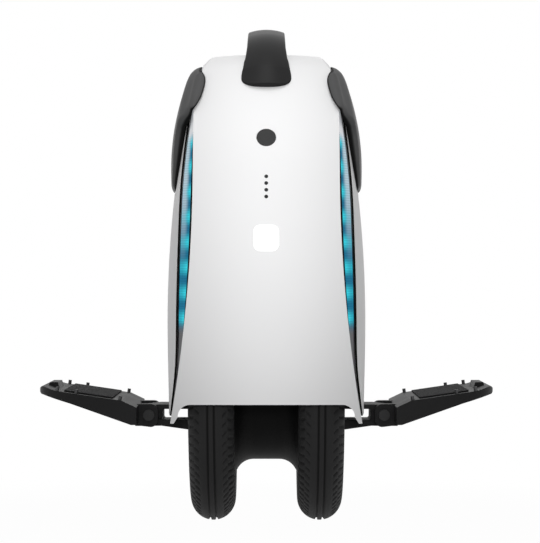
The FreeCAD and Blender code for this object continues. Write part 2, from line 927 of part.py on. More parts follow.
def trim(side):
    levels = []
    for height in shell_heights:
        reach = seam_reach_at(height)
        inner = trim_inner_at(height)
        outer = max(seam_half_at(height), inner + num("trim_width") / 2)
        deep = reach - num("trim_depth")
        corners = [Vector(inner, -reach, height), Vector(outer, -reach, height),
                   Vector(outer, -deep, height), Vector(inner, -deep, height)]
        levels.append(polygon([on_side(corner, -side) for corner in corners]))
    return lofted(levels, True)


def strip(side, front_depth, back_depth):
    # The lit band between the panel's edge and the trim, between two depths under its face
    levels = []
    for height in steps(num("strip_low"), num("strip_high"), level_count):
        under_panel = front_reach_at(height, num("panel_wall + clear_gap"))
        inner = Vector(panel_half_at(height) - num("strip_tuck"), -under_panel, height)
        outer = Vector(trim_inner_at(height) - num("2 * clear_gap"), -seam_reach_at(height), height)
        along = (outer - inner).normalize()
        inward = Vector(-along.y, along.x, 0)
        corners = [inner + inward * front_depth, outer + inward * front_depth,
                   outer + inward * back_depth, inner + inward * back_depth]
        levels.append(polygon([on_side(corner, -side) for corner in corners]))
    return lofted(levels)


def leg_pad():
    # Crowned cushion on the upper flank, thin at its edges
    levels = []
    for height in pad_heights:
        share = (height - num("pad_low")) / num("pad_high - pad_low")
        crown_share = smooth_shares(pad_height_shares, pad_crown_shares, share)
        centre, radius = shell_arc_at(height)
        drop = max(num("pad_low + pad_round") - height, 0) / num("pad_round")
        round_reach = num("pad_base") + num("pad_reach - pad_base") * math.sqrt(max(1 - drop ** 2, 0))
        reach = min(round_reach, seam_reach_at(height) - num("trim_depth + pad_edge"))
        seat = radius + num("clear_gap")
        inner = arc_edge(centre, seat, reach, height)
        edge = centre + math.sqrt(seat ** 2 - reach ** 2) + num("pad_edge")
        crown = centre + seat + max(num("pad_thickness") * crown_share, num("pad_edge"))
        bulge = crown - edge
        crown_radius = (reach ** 2 + bulge ** 2) / (2 * bulge)
        outer = arc_edge(crown - crown_radius, crown_radius, reach, height)
        levels.append(closed_wire(outer, inner))
    return formed("RightPad", lofted(levels, True))


arm_notch = block("ArmNotch", ("0", "2 * shell_half"),
                  ("-(hanger_half + arm_notch_gap)", "hanger_half + arm_notch_gap"),
                  ("shell_low - overrun", "arm_top + arm_notch_gap"))
both_sides("side_shell", cut("NotchedShell", shell(), [arm_notch]))
both_sides("leg_pad", leg_pad())
both_sides("edge_trim", formed("RightTrim", Part.makeCompound([trim(front_side), trim(rear_side)])))
strip_back = num("strip_wall")
board_front = num("strip_wall + clear_gap")
board_back = num("strip_wall + clear_gap + light_board_wall")
boards = []
for side, place in ((front_side, "front"), (rear_side, "rear")):
    right_strip = formed(place + "RightStrip", strip(side, 0, strip_back))
    node(place + "_right_light_strip", right_strip)
    node(place + "_left_light_strip", flipped(place + "LeftStrip", right_strip, sideways))
    right_board = formed(place + "RightBoard", strip(side, board_front, board_back))
    boards += [right_board, flipped(place + "LeftBoard", right_board, sideways)]
node("light_boards", group_of("LightBoards", boards))


# Places on the curved panels: outward direction, depth under the face and climb along it
def lean(height):
    return "((%s - front_middle) / front_radius)" % height


def panel_place(side, height, depth, climb="0"):
    rise = lean(height)
    run = "sqrt(1 - %s ^ 2)" % rise
    radius = "(front_radius - (%s))" % depth
    along = "%d * (%s * %s - %s - (%s) * %s)" % (side, radius, run, front_centre, climb, rise)
    up = "front_middle + %s * %s + (%s) * %s" % (radius, rise, climb, run)
    return along, up


def outward(side, height):
    rise = num(lean(height))
    return Vector(0, side * math.sqrt(1 - rise ** 2), rise)


def peg(name, side, height, x_place, radius, deep, shallow):
    # A round bar square to the panel's face, between two depths
    along, up = panel_place(side, height, deep)
    return rod(name, (x_place, along, up), outward(side, height), radius, "(%s) - (%s)" % (deep, shallow))


def cross_bar(name, side, height, depth, climb, radius, half):
    along, up = panel_place(side, height, depth, climb)
    return rod(name, ("-(%s)" % half, along, up), sideways, radius, "2 * (%s)" % half)


def leaning_block(name, x_ends, deep, shallow, climb_ends, side, height):
    box = doc.addObject("Part::Box", name)
    bind(box, "Length", "(%s) - (%s)" % (x_ends[1], x_ends[0]))
    bind(box, "Width", "(%s) - (%s)" % (deep, shallow))
    bind(box, "Height", "(%s) - (%s)" % (climb_ends[1], climb_ends[0]))
    along, up = panel_place(side, height, deep, climb_ends[0])
    turn = FreeCAD.Rotation(sideways, math.degrees(math.asin(num(lean(height)))))
    box.Placement = FreeCAD.Placement(Vector(num(x_ends[0]), num(along), num(up)), turn)
    return box


def rounded(width, height, middle, corner):
    side = "(%s / 2)" % width
    inside = "(%s / 2 - %s)" % (width, corner)
    low = "%s - %s / 2" % (middle, height)
    high = "%s + %s / 2" % (middle, height)
    return [("-" + inside, low, corner, 1), (inside, low),
            (side, low + " + " + corner, corner, 1), (side, high + " - " + corner),
            (inside, high, corner, 1), ("-" + inside, high),
            ("-" + side, high + " - " + corner, corner, 1), ("-" + side, low + " + " + corner)]


def face_plate(name, side, depths, size, middle, corner):
    # A piece of the panel's curve between two depths, with a rounded outline
    column = slab(name + "Column", "XZ_Plane", [rounded(size[0], size[1], middle, corner)],
                  "-(front_reach + overrun)", "0")
    plate = common(name + "Plate", band(name + "Band", depths, "foot_z", "seam_y"), column)
    return plate if side == front_side else flipped(name + "Turned", plate, lengthways)


def window(name, side, size, middle, corner):
    column = slab(name, "XZ_Plane", [rounded("(%s + 2 * fit_gap)" % size[0], "(%s + 2 * fit_gap)" % size[1],
                                             middle, "(%s + fit_gap)" % corner)],
                  "-(front_reach + overrun)", "-seam_y")
    return column if side == front_side else flipped(name + "Turned", column, lengthways)


# Power button and its switch
flange_top = "(panel_wall + clear_gap + fit_gap)"
flange_low = "(%s + button_flange_wall)" % flange_top
node("power_button", fuse("PowerButton", [
    peg("ButtonStem", front_side, "button_z", "0", "button_radius", flange_low, "-button_proud"),
    peg("ButtonFlange", front_side, "button_z", "0", "button_flange", flange_low, flange_top)]))
switch_floor = "(%s + button_travel + clear_gap)" % flange_low
switch_cup = peg("SwitchCup", front_side, "button_z", "0", "switch_radius", switch_floor + " + switch_wall",
                 flange_top)
node("button_switch", cut("ButtonSwitch", switch_cup, [
    peg("SwitchCavity", front_side, "button_z", "0", "switch_cavity", switch_floor, "0")]))

# Charge indicator: a column of small lenses with one board behind them
dot_heights = ["(dot_top_z - %d * dot_pitch)" % number for number in range(dot_count)]
node("indicator_lenses", group_of("IndicatorLenses", [
    peg("Dot%d" % number, front_side, height, "0", "dot_radius", "panel_wall", "-fit_gap")
    for number, height in enumerate(dot_heights)]))
dots_middle = "(dot_top_z - %d * dot_pitch / 2)" % (dot_count - 1)
dots_height = "(%d * dot_pitch + 2 * dot_board_margin)" % (dot_count - 1)
board_depth = "panel_wall + clear_gap"
node("indicator_board", face_plate("DotBoard", front_side, (board_depth, board_depth + " + dot_board_wall"),
                                   ("dot_board_width", dots_height), dots_middle, "dot_radius"))


# Headlight and tail light: a lens flush with the panel and a board behind it
def lamp(name, prefix, side):
    size = (prefix + "_width", prefix + "_height")
    lens = (prefix + "_z", prefix + "_corner")
    wide = tuple("(%s + 2 * %s_board_margin)" % (length, prefix) for length in size)
    start = "%s_wall + clear_gap" % prefix
    node(name + "_lens", face_plate(prefix + "Lens", side, ("0", prefix + "_wall"), size, *lens))
    node(name + "_board", face_plate(prefix + "Board", side, (start, "%s + %s_board_wall" % (start, prefix)),
                                     wide, *lens))
    return window(prefix + "Window", side, size, *lens)


headlight_window = lamp("headlight", "headlight", front_side)
tail_window = lamp("tail_light", "tail", rear_side)

# Charge port on the rear panel, with a cap on a cross pin
flange_out = "(fit_gap + port_flange_wall)"
pin_depth = "-(%s + clear_gap + cap_knuckle)" % flange_out
pin_climb = "(cap_radius + cap_knuckle)"
ear_start = "(cap_tab_half + clear_gap)"
ear_end = "(cap_tab_half + clear_gap + cap_ear_wall)"
ear_reach = "(%s + 2 * cap_pin_radius)" % pin_climb
port_pieces = [
    peg("PortBody", rear_side, "port_z", "0", "port_body", "port_depth", "-fit_gap"),
    peg("PortFlange", rear_side, "port_z", "0", "port_flange", "-fit_gap", "-" + flange_out),
    leaning_block("PortTab", ("-" + ear_end, ear_end), "-fit_gap", "-" + flange_out,
                  ("cap_radius - cap_knuckle", ear_reach), rear_side, "port_z"),
    cross_bar("PortPin", rear_side, "port_z", pin_depth, pin_climb, "cap_pin_radius", ear_end),
]
for sign in (-1, 1):
    spans = sorted(("%d * %s" % (sign, ear_start), "%d * %s" % (sign, ear_end)), key=num)
    port_pieces.append(leaning_block("PortEar%d" % (sign + 1), spans, "-fit_gap",
                                     "%s - 2 * cap_pin_radius" % pin_depth,
                                     ("%s - 2 * cap_pin_radius" % pin_climb, ear_reach), rear_side, "port_z"))
node("charge_port", cut("ChargePort", fuse("PortSolid", port_pieces), [
    peg("PortBore", rear_side, "port_z", "0", "port_bore", "port_bore_depth - " + flange_out, "-overrun")]))
cap_floor = "-(%s + clear_gap)" % flange_out
cap_roof = "-(%s + clear_gap + cap_wall)" % flange_out
cap_blank = fuse("CapSolid", [
    peg("CapDisc", rear_side, "port_z", "0", "cap_radius", cap_floor, cap_roof),
    leaning_block("CapTab", ("-cap_tab_half", "cap_tab_half"), cap_floor, cap_roof,
                  ("cap_radius - cap_knuckle", pin_climb), rear_side, "port_z"),
    cross_bar("CapKnuckle", rear_side, "port_z", pin_depth, pin_climb, "cap_knuckle", "cap_tab_half")])
node("charge_cap", cut("ChargeCap", cap_blank, [
    cross_bar("CapHole", rear_side, "port_z", pin_depth, pin_climb, "cap_pin_radius + running_gap",
              "cap_tab_half + overrun")]))


# Carry handle: an arch over the hand well, seated on both panels
def face_reach(height):
    return "(sqrt(front_radius ^ 2 - (%s - front_middle) ^ 2) - %s)" % (height, front_centre)


def envelope(name):
    # The whole body filled up to just outside its panels
    radius = "(front_radius + fit_gap)"
    stretch = "(%s / (front_radius - deck_corner))" % radius
    half = [
        ("0", "deck_z + fit_gap"),
        (corner_y, "deck_z + fit_gap"),
        ("%s * %s - %s" % (corner_run, stretch, front_centre),
         "front_middle + %s * %s" % (corner_rise, stretch), "(deck_corner + fit_gap)", -1),
        ("sqrt(%s ^ 2 - (foot_z - front_middle) ^ 2) - %s" % (radius, front_centre), "foot_z", radius, -1),
        ("0", "foot_z"),
    ]
    return slab(name, "YZ_Plane", [mirrored(half)], "-shell_half", "shell_half")


def crown_drop(reach):
    return "(handle_crown - sqrt(handle_crown ^ 2 - %s ^ 2))" % reach


def handle_blank():
    under = "handle_top - handle_depth"
    arch = slab("HandleArch", "YZ_Plane", [mirrored([
        ("0", "handle_top"),
        ("crown_reach", "handle_top - " + crown_drop("crown_reach"), "handle_crown", -1),
        (face_reach("leg_z") + " + leg_stand", "leg_z", "shoulder_bend", -1),
        (face_reach("toe_z") + " + toe_stand", "toe_z"),
        ("grip_end_reach", "toe_z"),
        ("grip_end_reach", under + " - grip_end_drop"),
        ("grip_reach", under + " - " + crown_drop("grip_reach"), "grip_bend", 1),
        ("0", under, "handle_crown", 1),
    ])], "-shell_half", "shell_half")
    face = slab("HandleFace", "XZ_Plane", [mirrored([
        ("0", "handle_top"),
        ("grip_half", "handle_top - (grip_round - sqrt(grip_round ^ 2 - grip_half ^ 2))", "grip_round", -1),
        ("neck_half", "neck_z"),
        ("step_half", "step_z"),
        ("base_half", "base_z"),
        ("toe_half", "toe_corner_z"),
        ("0", "toe_z", "toe_round", -1),
    ])], "-front_reach", "front_reach")
    # The top is crowned across all along the arch, so a barrel about the axle trims it
    barrel_half = "(base_half + overrun)"
    barrel = spun("HandleBarrel", [mirrored([
        ("0", "handle_crown"),
        (barrel_half, "handle_crown - (grip_round - sqrt(grip_round ^ 2 - %s ^ 2))" % barrel_half,
         "grip_round", -1),
        (barrel_half, "tyre_radius"),
        ("0", "tyre_radius"),
    ])])
    crowned = common("HandleCrowned", common("HandleWhole", arch, face), barrel)
    return cut("HandleSeated", crowned, [envelope("HandleSeat")])


def handle_pegs(prefix, radius, deep, shallow):
    bars = []
    for side in (front_side, rear_side):
        for sign in (-1, 1):
            bars.append(peg("%s%d%d" % (prefix, side + 1, sign + 1), side, "handle_screw_z",
                            "%d * handle_screw_half" % sign, radius, deep, shallow))
    return bars


screw_seat = "(panel_wall + fit_gap)"
shank_hole = "handle_screw_radius + fit_gap"
node("carry_handle", cut("CarryHandle", handle_blank(), handle_pegs(
    "HandleHole", shank_hole, "panel_wall", "-(handle_screw_grip + fit_gap)")))
shanks = handle_pegs("HandleShank", "handle_screw_radius", screw_seat, "-handle_screw_grip")
heads = handle_pegs("HandleHead", "handle_screw_head", screw_seat + " + handle_screw_head_height", screw_seat)
node("handle_screws", group_of("HandleScrews", [
    fuse("HandleScrew%d" % number, list(parts)) for number, parts in enumerate(zip(shanks, heads))]))

# Panels with all their holes
button_hole = peg("ButtonHole", front_side, "button_z", "0", "button_radius + button_gap",
                  "panel_wall + overrun", "-overrun")
port_hole = peg("PortHole", rear_side, "port_z", "0", "port_body + fit_gap", "panel_wall + overrun", "-overrun")
panel_holes = {front_side: [headlight_window, button_hole], rear_side: [tail_window, port_hole]}
panel_holes[front_side] += [
    peg("DotHole%d" % number, front_side, height, "0", "dot_radius + fit_gap",
        "panel_wall + overrun", "-overrun")
    for number, height in enumerate(dot_heights)]
for side in (front_side, rear_side):
    for sign in (-1, 1):
        panel_holes[side].append(peg("PanelHole%d%d" % (side + 1, sign + 1), side, "handle_screw_z",
                                     "%d * handle_screw_half" % sign, shank_hole,
                                     "panel_wall + overrun", "-overrun"))
node("front_panel", cut("FrontPanel", ribbon_half("Front", front_side), panel_holes[front_side]))
node("rear_panel", cut("RearPanel", ribbon_half("Rear", rear_side), panel_holes[rear_side]))

# Hand well under the handle
well_box = block("WellBox", ("-(well_half + well_wall)", "well_half + well_wall"),
                 ("-(well_reach + well_wall)", "well_reach + well_wall"),
                 ("well_floor - well_wall", "deck_z - panel_wall / 2"))
deck_blank = block("DeckBlank", ("-shell_half", "shell_half"), ("-seam_y", "seam_y"),
                   ("deck_z - panel_wall", "deck_z"))
deck_face = slab("DeckFace", "XZ_Plane", [mirrored(face_half)], "-(seam_y + overrun)", "seam_y + overrun")
well_room = block("WellRoom", ("-well_half", "well_half"), ("-well_reach", "well_reach"),
                  ("well_floor", "deck_z + overrun"))
well_solid = fuse("WellSolid", [common("Deck", deck_blank, deck_face), well_box])
node("hand_well", cut("HandWell", well_solid, [well_room]))


# Wheel arch with its battery shelves, and the side plates that carry it
arch_inner = "(tyre_radius + arch_gap)"
arch_outer = "(tyre_radius + arch_gap + arch_wall)"
arch_half = "(plate_inner - fit_gap)"


def arch_reach(radius):
    return "sqrt(%s ^ 2 - (tyre_radius - arch_low) ^ 2)" % radius


arch_band = slab("ArchBand", "YZ_Plane", [mirrored([
    ("0", "tyre_radius + " + arch_outer),
    (arch_reach(arch_outer), "arch_low", arch_outer, -1),
    (arch_reach(arch_inner), "arch_low"),
    ("0", "tyre_radius + " + arch_inner, arch_inner, 1),
])], "-" + arch_half, arch_half)
shelf_top = "(shelf_z + shelf_wall)"
shelves = []
for side in (front_side, rear_side):
    spans = sorted(("%d * shelf_inner" % side, "%d * battery_far" % side), key=num)
    shelves.append(block("Shelf%d" % (side + 1), ("-" + arch_half, arch_half), spans, ("shelf_z", shelf_top)))
node("wheel_arch", fuse("WheelArch", [arch_band] + shelves))


def tab_bolts(prefix, side, radius, start, length):
    height = "hanger_top + tab_height / 2"
    bars = []
    for sign in (-1, 1):
        bars.append(rod("%s%d%d" % (prefix, side + 1, sign + 1),
                        ("%d * (%s)" % (side, start), "%d * hanger_bolt_pitch / 2" % sign, height),
                        sideways * side, radius, length))
    return bars


plate_outer = "(plate_inner + plate_wall)"
plate_blank = slab("PlateBlank", "YZ_Plane", [[
    ("-plate_reach", "plate_low"),
    ("plate_reach", "plate_low"),
    ("plate_reach", "plate_shoulder"),
    ("plate_top_reach", "plate_high"),
    ("-plate_top_reach", "plate_high"),
    ("-plate_reach", "plate_shoulder"),
]], "plate_inner", plate_outer)
bolt_hole = "hanger_bolt_radius + fit_gap"
both_sides("side_plate", cut("RightPlate", plate_blank, tab_bolts(
    "PlateHole", 1, bolt_hole, "plate_inner - overrun", "plate_wall + 2 * overrun")))
bolt_length = "plate_wall + fit_gap + tab_wall"
bolts = []
for side in (-1, 1):
    shank_bars = tab_bolts("BoltShank", side, "hanger_bolt_radius", "%s - (%s)" % (plate_outer, bolt_length),
                           bolt_length)
    head_bars = tab_bolts("BoltHead", side, "hanger_bolt_head", plate_outer, "hanger_bolt_head_height")
    for number, parts in enumerate(zip(shank_bars, head_bars)):
        bolts.append(fuse("HangerBolt%d%d" % (side + 1, number), list(parts)))
node("hanger_bolts", group_of("HangerBolts", bolts))

# Batteries, heat sink, control board and what stands on the board
battery_low = "(%s + fit_gap)" % shelf_top
battery_middle = "(battery_near + battery_far) / 2"
battery_depth = "(battery_far - battery_near)"
for side, place in ((front_side, "front"), (rear_side, "rear")):
    outline = [("%d * %s + (%s)" % (side, battery_middle, corner[0]),) + tuple(corner[1:])
               for corner in rounded(battery_depth, "battery_height",
                                     "(%s + battery_height / 2)" % battery_low, "battery_round")]
    node(place + "_battery", slab(place + "Battery", "YZ_Plane", [outline], "-battery_half", "battery_half"))
sink_low = "(tyre_radius + %s + clear_gap)" % arch_outer
sink_high = "(%s + sink_height)" % sink_low
fin_pitch = "(2 * sink_half / %d)" % fin_count
sink_slots = []
for number in range(fin_count):
    start = "(-sink_half + %d * %s + fin_width / 2)" % (number, fin_pitch)
    sink_slots.append(block("SinkSlot%d" % number, (start, "%s + %s - fin_width" % (start, fin_pitch)),
                            ("-(sink_reach + overrun)", "sink_reach + overrun"),
                            ("%s - overrun" % sink_low, "%s - sink_base" % sink_high)))
sink_blank = block("SinkBlank", ("-sink_half", "sink_half"), ("-sink_reach", "sink_reach"), (sink_low, sink_high))
node("heat_sink", cut("HeatSink", sink_blank, sink_slots))
board_low = "(%s + fit_gap)" % sink_high
board_high = "(%s + board_wall)" % board_low
node("control_board", block("ControlBoard", ("-board_half", "board_half"), ("-board_reach", "board_reach"),
                            (board_low, board_high)))
capacitor_row_half = (capacitor_count - 1) / 2
node("capacitors", group_of("Capacitors", [
    rod("Capacitor%d" % number, ("%g * capacitor_pitch" % (number - capacitor_row_half), "-capacitor_row",
                                 board_high + " + fit_gap"), upright, "capacitor_radius", "capacitor_height")
    for number in range(capacitor_count)]))

# Pedal hangers: a plate on the axle, a tab for the side plate and an arm with the hinge
lip_top = "(lip_low + lip_wall)"
tab_face = "(plate_inner - fit_gap)"
hanger_blank = slab("HangerBlank", "XZ_Plane", [[
    ("hanger_inner", "hanger_low"),
    ("arm_low_reach", "arm_low"),
    ("lip_start", "lip_low"),
    ("lip_end", "lip_low"),
    ("lip_end", lip_top),
    ("hinge_x + knuckle_radius", lip_top),
    ("hinge_x + knuckle_radius", "hinge_z"),
    ("hinge_x", "hinge_z + knuckle_radius", "knuckle_radius", 1),
    ("arm_top_reach", "arm_top"),
    (hanger_outer, "arm_top"),
    (hanger_outer, "hanger_top - shelf_bar"),
    (tab_face, "hanger_top - shelf_bar"),
    (tab_face, "hanger_top + tab_height"),
    (tab_face + " - tab_wall", "hanger_top + tab_height"),
    (tab_face + " - tab_wall", "hanger_top"),
    ("hanger_inner", "hanger_top"),
], [
    ("window_inner + window_corner", "window_low", "window_corner", 1),
    ("window_outer - window_corner", "window_low"),
    ("window_outer", "window_low + window_corner", "window_corner", 1),
    ("window_outer", "window_high - window_corner"),
    ("window_outer - window_corner", "window_high", "window_corner", 1),
    ("window_inner + window_corner", "window_high"),
    ("window_inner", "window_high - window_corner", "window_corner", 1),
    ("window_inner", "window_low + window_corner"),
]], "-hanger_half", "hanger_half")
hanger_holes = tab_bolts("TabHole", 1, bolt_hole, "plate_inner - tab_wall - overrun", "tab_wall + overrun")
hanger_holes.append(rod("HangerAxleHole", ("hanger_inner - overrun", "0", "tyre_radius"), sideways,
                        "axle_end_radius + fit_gap", "hanger_wall + 2 * overrun"))
hanger_holes.append(rod("HangerPinHole", ("hinge_x", "-(hanger_half + overrun)", "hinge_z"), lengthways,
                        "hinge_pin_radius + running_gap", "2 * (hanger_half + overrun)"))
both_sides("pedal_hanger", cut("RightHanger", hanger_blank, hanger_holes))
ear_near = "(hanger_half + clear_gap)"
ear_far = "(hanger_half + clear_gap + ear_wall)"
head_near = "(hanger_half + 2 * clear_gap + ear_wall)"
pins = []
for side in (-1, 1):
    place = ("%d * hinge_x" % side, "-%s" % head_near, "hinge_z")
    pieces = [rod("PinShank%d" % (side + 1), place, lengthways, "hinge_pin_radius", "2 * " + head_near)]
    for sign in (-1, 1):
        pieces.append(rod("PinHead%d%d" % (side + 1, sign + 1),
                          ("%d * hinge_x" % side, "%d * %s" % (sign, head_near), "hinge_z"),
                          lengthways * sign, "pin_head_radius", "pin_head_wall"))
    pins.append(fuse("HingePin%d" % (side + 1), pieces))
node("hinge_pins", group_of("HingePins", pins))

# Pedals: a wedge with an outer lip, two hinge ears, a grip pad and studs
root_x = "(hinge_x + knuckle_radius + 3 * clear_gap)"
pedal_low_z = "(%s + clear_gap)" % lip_top
pedal_half = "(pedal_length / 2)"
nose_x = "(pedal_tip_x - pedal_nose_radius)"
wedge = slab("PedalWedge", "XZ_Plane", [[
    (root_x, pedal_low_z),
    ("pedal_low_x", pedal_low_z),
    ("pedal_belly_x", "pedal_belly_z"),
    (nose_x, "pedal_tip_z - pedal_nose_radius"),
    ("pedal_tip_x", "pedal_tip_z", "pedal_nose_radius", 1),
    (nose_x, "pedal_tip_z + pedal_nose_radius", "pedal_nose_radius", 1),
    ("pedal_top_x", "pedal_top_z"),
    ("pedal_inner_x", "pedal_inner_z"),
    (root_x, "pedal_root_z"),
]], "-" + pedal_half, pedal_half)
plan = slab("PedalPlan", "XY_Plane", [[
    (root_x, "-" + pedal_half),
    ("pedal_tip_x - pedal_corner", "-" + pedal_half),
    ("pedal_tip_x", "-%s + pedal_corner" % pedal_half, "pedal_corner", 1),
    ("pedal_tip_x", "%s - pedal_corner" % pedal_half),
    ("pedal_tip_x - pedal_corner", pedal_half, "pedal_corner", 1),
    (root_x, pedal_half),
]], "0", "pedal_lip_z + overrun")
lip_foot = "(pedal_top_z - pedal_lip_slope)"
lip = slab("PedalLip", "XZ_Plane", [[
    ("pedal_lip_inner - pedal_lip_slope", lip_foot),
    ("pedal_lip_x + pedal_lip_slope", lip_foot),
    ("pedal_lip_x", "pedal_lip_z"),
    ("pedal_lip_inner", "pedal_lip_z"),
]], "-pedal_lip_half", "pedal_lip_half")
ear_outline = [
    ("ear_inner + ear_corner", "ear_low", "ear_corner", 1),
    (root_x + " + ear_corner", "ear_low + ear_rise"),
    (root_x + " + ear_corner", "ear_top"),
    ("ear_inner + ear_corner", "ear_top"),
    ("ear_inner", "ear_top - ear_corner", "ear_corner", 1),
    ("ear_inner", "ear_low + ear_corner"),
]
ears = [slab("RearEar", "XZ_Plane", [ear_outline], ear_near, ear_far),
        slab("FrontEar", "XZ_Plane", [ear_outline], "-" + ear_far, "-" + ear_near)]
tread_slope = "((pedal_top_z - pedal_inner_z) / (pedal_top_x - pedal_inner_x))"
tread_up = Vector(-num(tread_slope), 0, 1).normalize()


def tread_z(across):
    return "(pedal_inner_z + (%s - pedal_inner_x) * %s)" % (across, tread_slope)


def pedal_studs(prefix, radius, sink, length):
    # Studs in rows along the front and rear edges of the tread
    bars = []
    for sign in (-1, 1):
        for number, share in enumerate(stud_place_shares):
            across = "(pedal_inner_x + %g * (pedal_top_x - pedal_inner_x))" % share
            start = ("%s - (%s) * %.9f" % (across, sink, tread_up.x),
                     "%d * (%s - stud_edge)" % (sign, pedal_half),
                     "%s - (%s) * %.9f" % (tread_z(across), sink, tread_up.z))
            bars.append(rod("%s%d%d" % (prefix, sign + 1, number), start, tread_up, radius, length))
    return bars


pedal_holes = pedal_studs("StudHole", "stud_radius + running_gap", "stud_sink", "stud_sink + overrun")
pedal_holes.append(rod("EarHole", ("hinge_x", "-(%s + overrun)" % ear_far, "hinge_z"), lengthways,
                       "hinge_pin_radius + running_gap", "2 * (%s + overrun)" % ear_far))
pedal_solid = fuse("PedalSolid", [common("PedalPlate", wedge, plan), lip] + ears)
both_sides("pedal", cut("RightPedal", pedal_solid, pedal_holes))
grip_start = "(pedal_inner_x + grip_margin)"
grip_end = "(pedal_top_x - grip_margin)"
grip_base = " + running_gap"
both_sides("pedal_grip", slab("RightGrip", "XZ_Plane", [[
    (grip_start, tread_z(grip_start) + grip_base),
    (grip_end, tread_z(grip_end) + grip_base),
    (grip_end, tread_z(grip_end) + grip_base + " + grip_wall"),
    (grip_start, tread_z(grip_start) + grip_base + " + grip_wall"),
]], "-(%s - grip_inset)" % pedal_half, "%s - grip_inset" % pedal_half))
both_sides("pedal_studs", group_of("RightStuds", pedal_studs("Stud", "stud_radius", "stud_sink",
                                                             "stud_sink + stud_height")))


# Checks and export: every object is sound, then each node becomes one file
doc.recompute()
failed = [item.Label for item in doc.Objects if "Invalid" in item.State or "Error" in item.State]
if failed:
    raise RuntimeError("failed objects: " + ", ".join(failed))
for name, piece in nodes.items():
    if piece.Shape.isNull() or not piece.Shape.isValid() or not piece.Shape.Solids:
        raise RuntimeError("unsound shape: " + name)
for name, piece in nodes.items():
    solids = piece.Shape.Solids
    result = solids[0] if len(solids) == 1 else Part.makeCompound(solids)
    result.exportStep(os.path.join("parts", name + ".step"))
    print(name, len(solids), "solids", round(piece.Shape.Volume), "mm3")
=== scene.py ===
import json
import math

import bmesh
import bpy
import numpy as np
from mathutils import Matrix


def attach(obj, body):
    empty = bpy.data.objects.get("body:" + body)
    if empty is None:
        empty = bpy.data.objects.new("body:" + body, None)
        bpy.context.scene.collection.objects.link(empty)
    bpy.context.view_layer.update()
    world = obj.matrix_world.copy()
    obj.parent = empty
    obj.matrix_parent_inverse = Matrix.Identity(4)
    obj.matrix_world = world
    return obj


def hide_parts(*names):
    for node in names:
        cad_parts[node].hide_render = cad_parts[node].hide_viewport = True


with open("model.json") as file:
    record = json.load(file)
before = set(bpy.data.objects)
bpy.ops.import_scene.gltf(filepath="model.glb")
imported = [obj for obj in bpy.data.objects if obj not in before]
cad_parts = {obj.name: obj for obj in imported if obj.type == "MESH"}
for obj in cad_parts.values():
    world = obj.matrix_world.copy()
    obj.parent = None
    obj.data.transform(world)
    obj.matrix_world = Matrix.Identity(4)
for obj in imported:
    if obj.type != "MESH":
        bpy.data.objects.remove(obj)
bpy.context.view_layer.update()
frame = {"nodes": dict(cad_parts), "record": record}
nodes = frame["nodes"]
mm = 0.001
print("frame loaded:", len(nodes), "nodes")


# one socket of a shader, so that sums and products read as plain expressions
class Link:
    def __init__(self, finish, socket):
        self.finish = finish
        self.socket = socket

    def maths(self, operation, first, second):
        return self.finish.add("ShaderNodeMath", {"operation": operation}, {0: first, 1: second})

    def __add__(self, other):
        return self.maths("ADD", self, other)

    def __radd__(self, other):
        return self.maths("ADD", other, self)

    def __sub__(self, other):
        return self.maths("SUBTRACT", self, other)

    def __rsub__(self, other):
        return self.maths("SUBTRACT", other, self)

    def __mul__(self, other):
        return self.maths("MULTIPLY", self, other)

    def __rmul__(self, other):
        return self.maths("MULTIPLY", other, self)

    def __truediv__(self, other):
        return self.maths("DIVIDE", self, other)

    def larger(self, other):
        return self.maths("MAXIMUM", self, other)

    # up and down between nothing and a half, once for each whole number
    def zigzag(self):
        return self.maths("PINGPONG", self, 0.5)


# one material: add() makes any node, the methods after put() are short ways to common ones
class Finish:
    def __init__(self, name):
        self.material = bpy.data.materials.new(name)
        self.material.use_nodes = True
        self.tree = self.material.node_tree
        self.shader = self.tree.nodes["Principled BSDF"]

    def feed(self, socket, value):
        if isinstance(value, Link):
            self.tree.links.new(value.socket, socket)
        else:
            socket.default_value = value

    def add(self, kind, settings=None, inputs=None, output=0):
        node = self.tree.nodes.new(kind)
        for key, value in (settings or {}).items():
            setattr(node, key, value)
        for key, value in (inputs or {}).items():
            self.feed(node.inputs[key], value)
        return Link(self, node.outputs[output])

    def put(self, **values):
        for key, value in values.items():
            self.feed(self.shader.inputs[key.replace("_", " ")], value)

    def place(self):
        return self.add("ShaderNodeTexCoord", output="Object")

    def field(self, name, output="Fac"):
        return self.add("ShaderNodeAttribute", {"attribute_name": name}, output=output)

    def noise(self, scale, detail=2.0):
        inputs = {"Vector": self.place(), "Scale": scale, "Detail": detail}
        return self.add("ShaderNodeTexNoise", None, inputs)

    def blend(self, share, first, second):
        return self.add("ShaderNodeMix", {"data_type": "RGBA"}, {0: share, 6: first, 7: second}, 2)

    def between(self, value, low, high):
        return self.add("ShaderNodeMapRange", {"interpolation_type": "SMOOTHSTEP"},
                        {"Value": value, "From Min": low, "From Max": high})

    def bump(self, height, strength, distance):
        inputs = {"Height": height, "Strength": strength, "Distance": distance}
        return self.add("ShaderNodeBump", None, inputs)


def colour(red, green, blue):
    return (red, green, blue, 1.0)


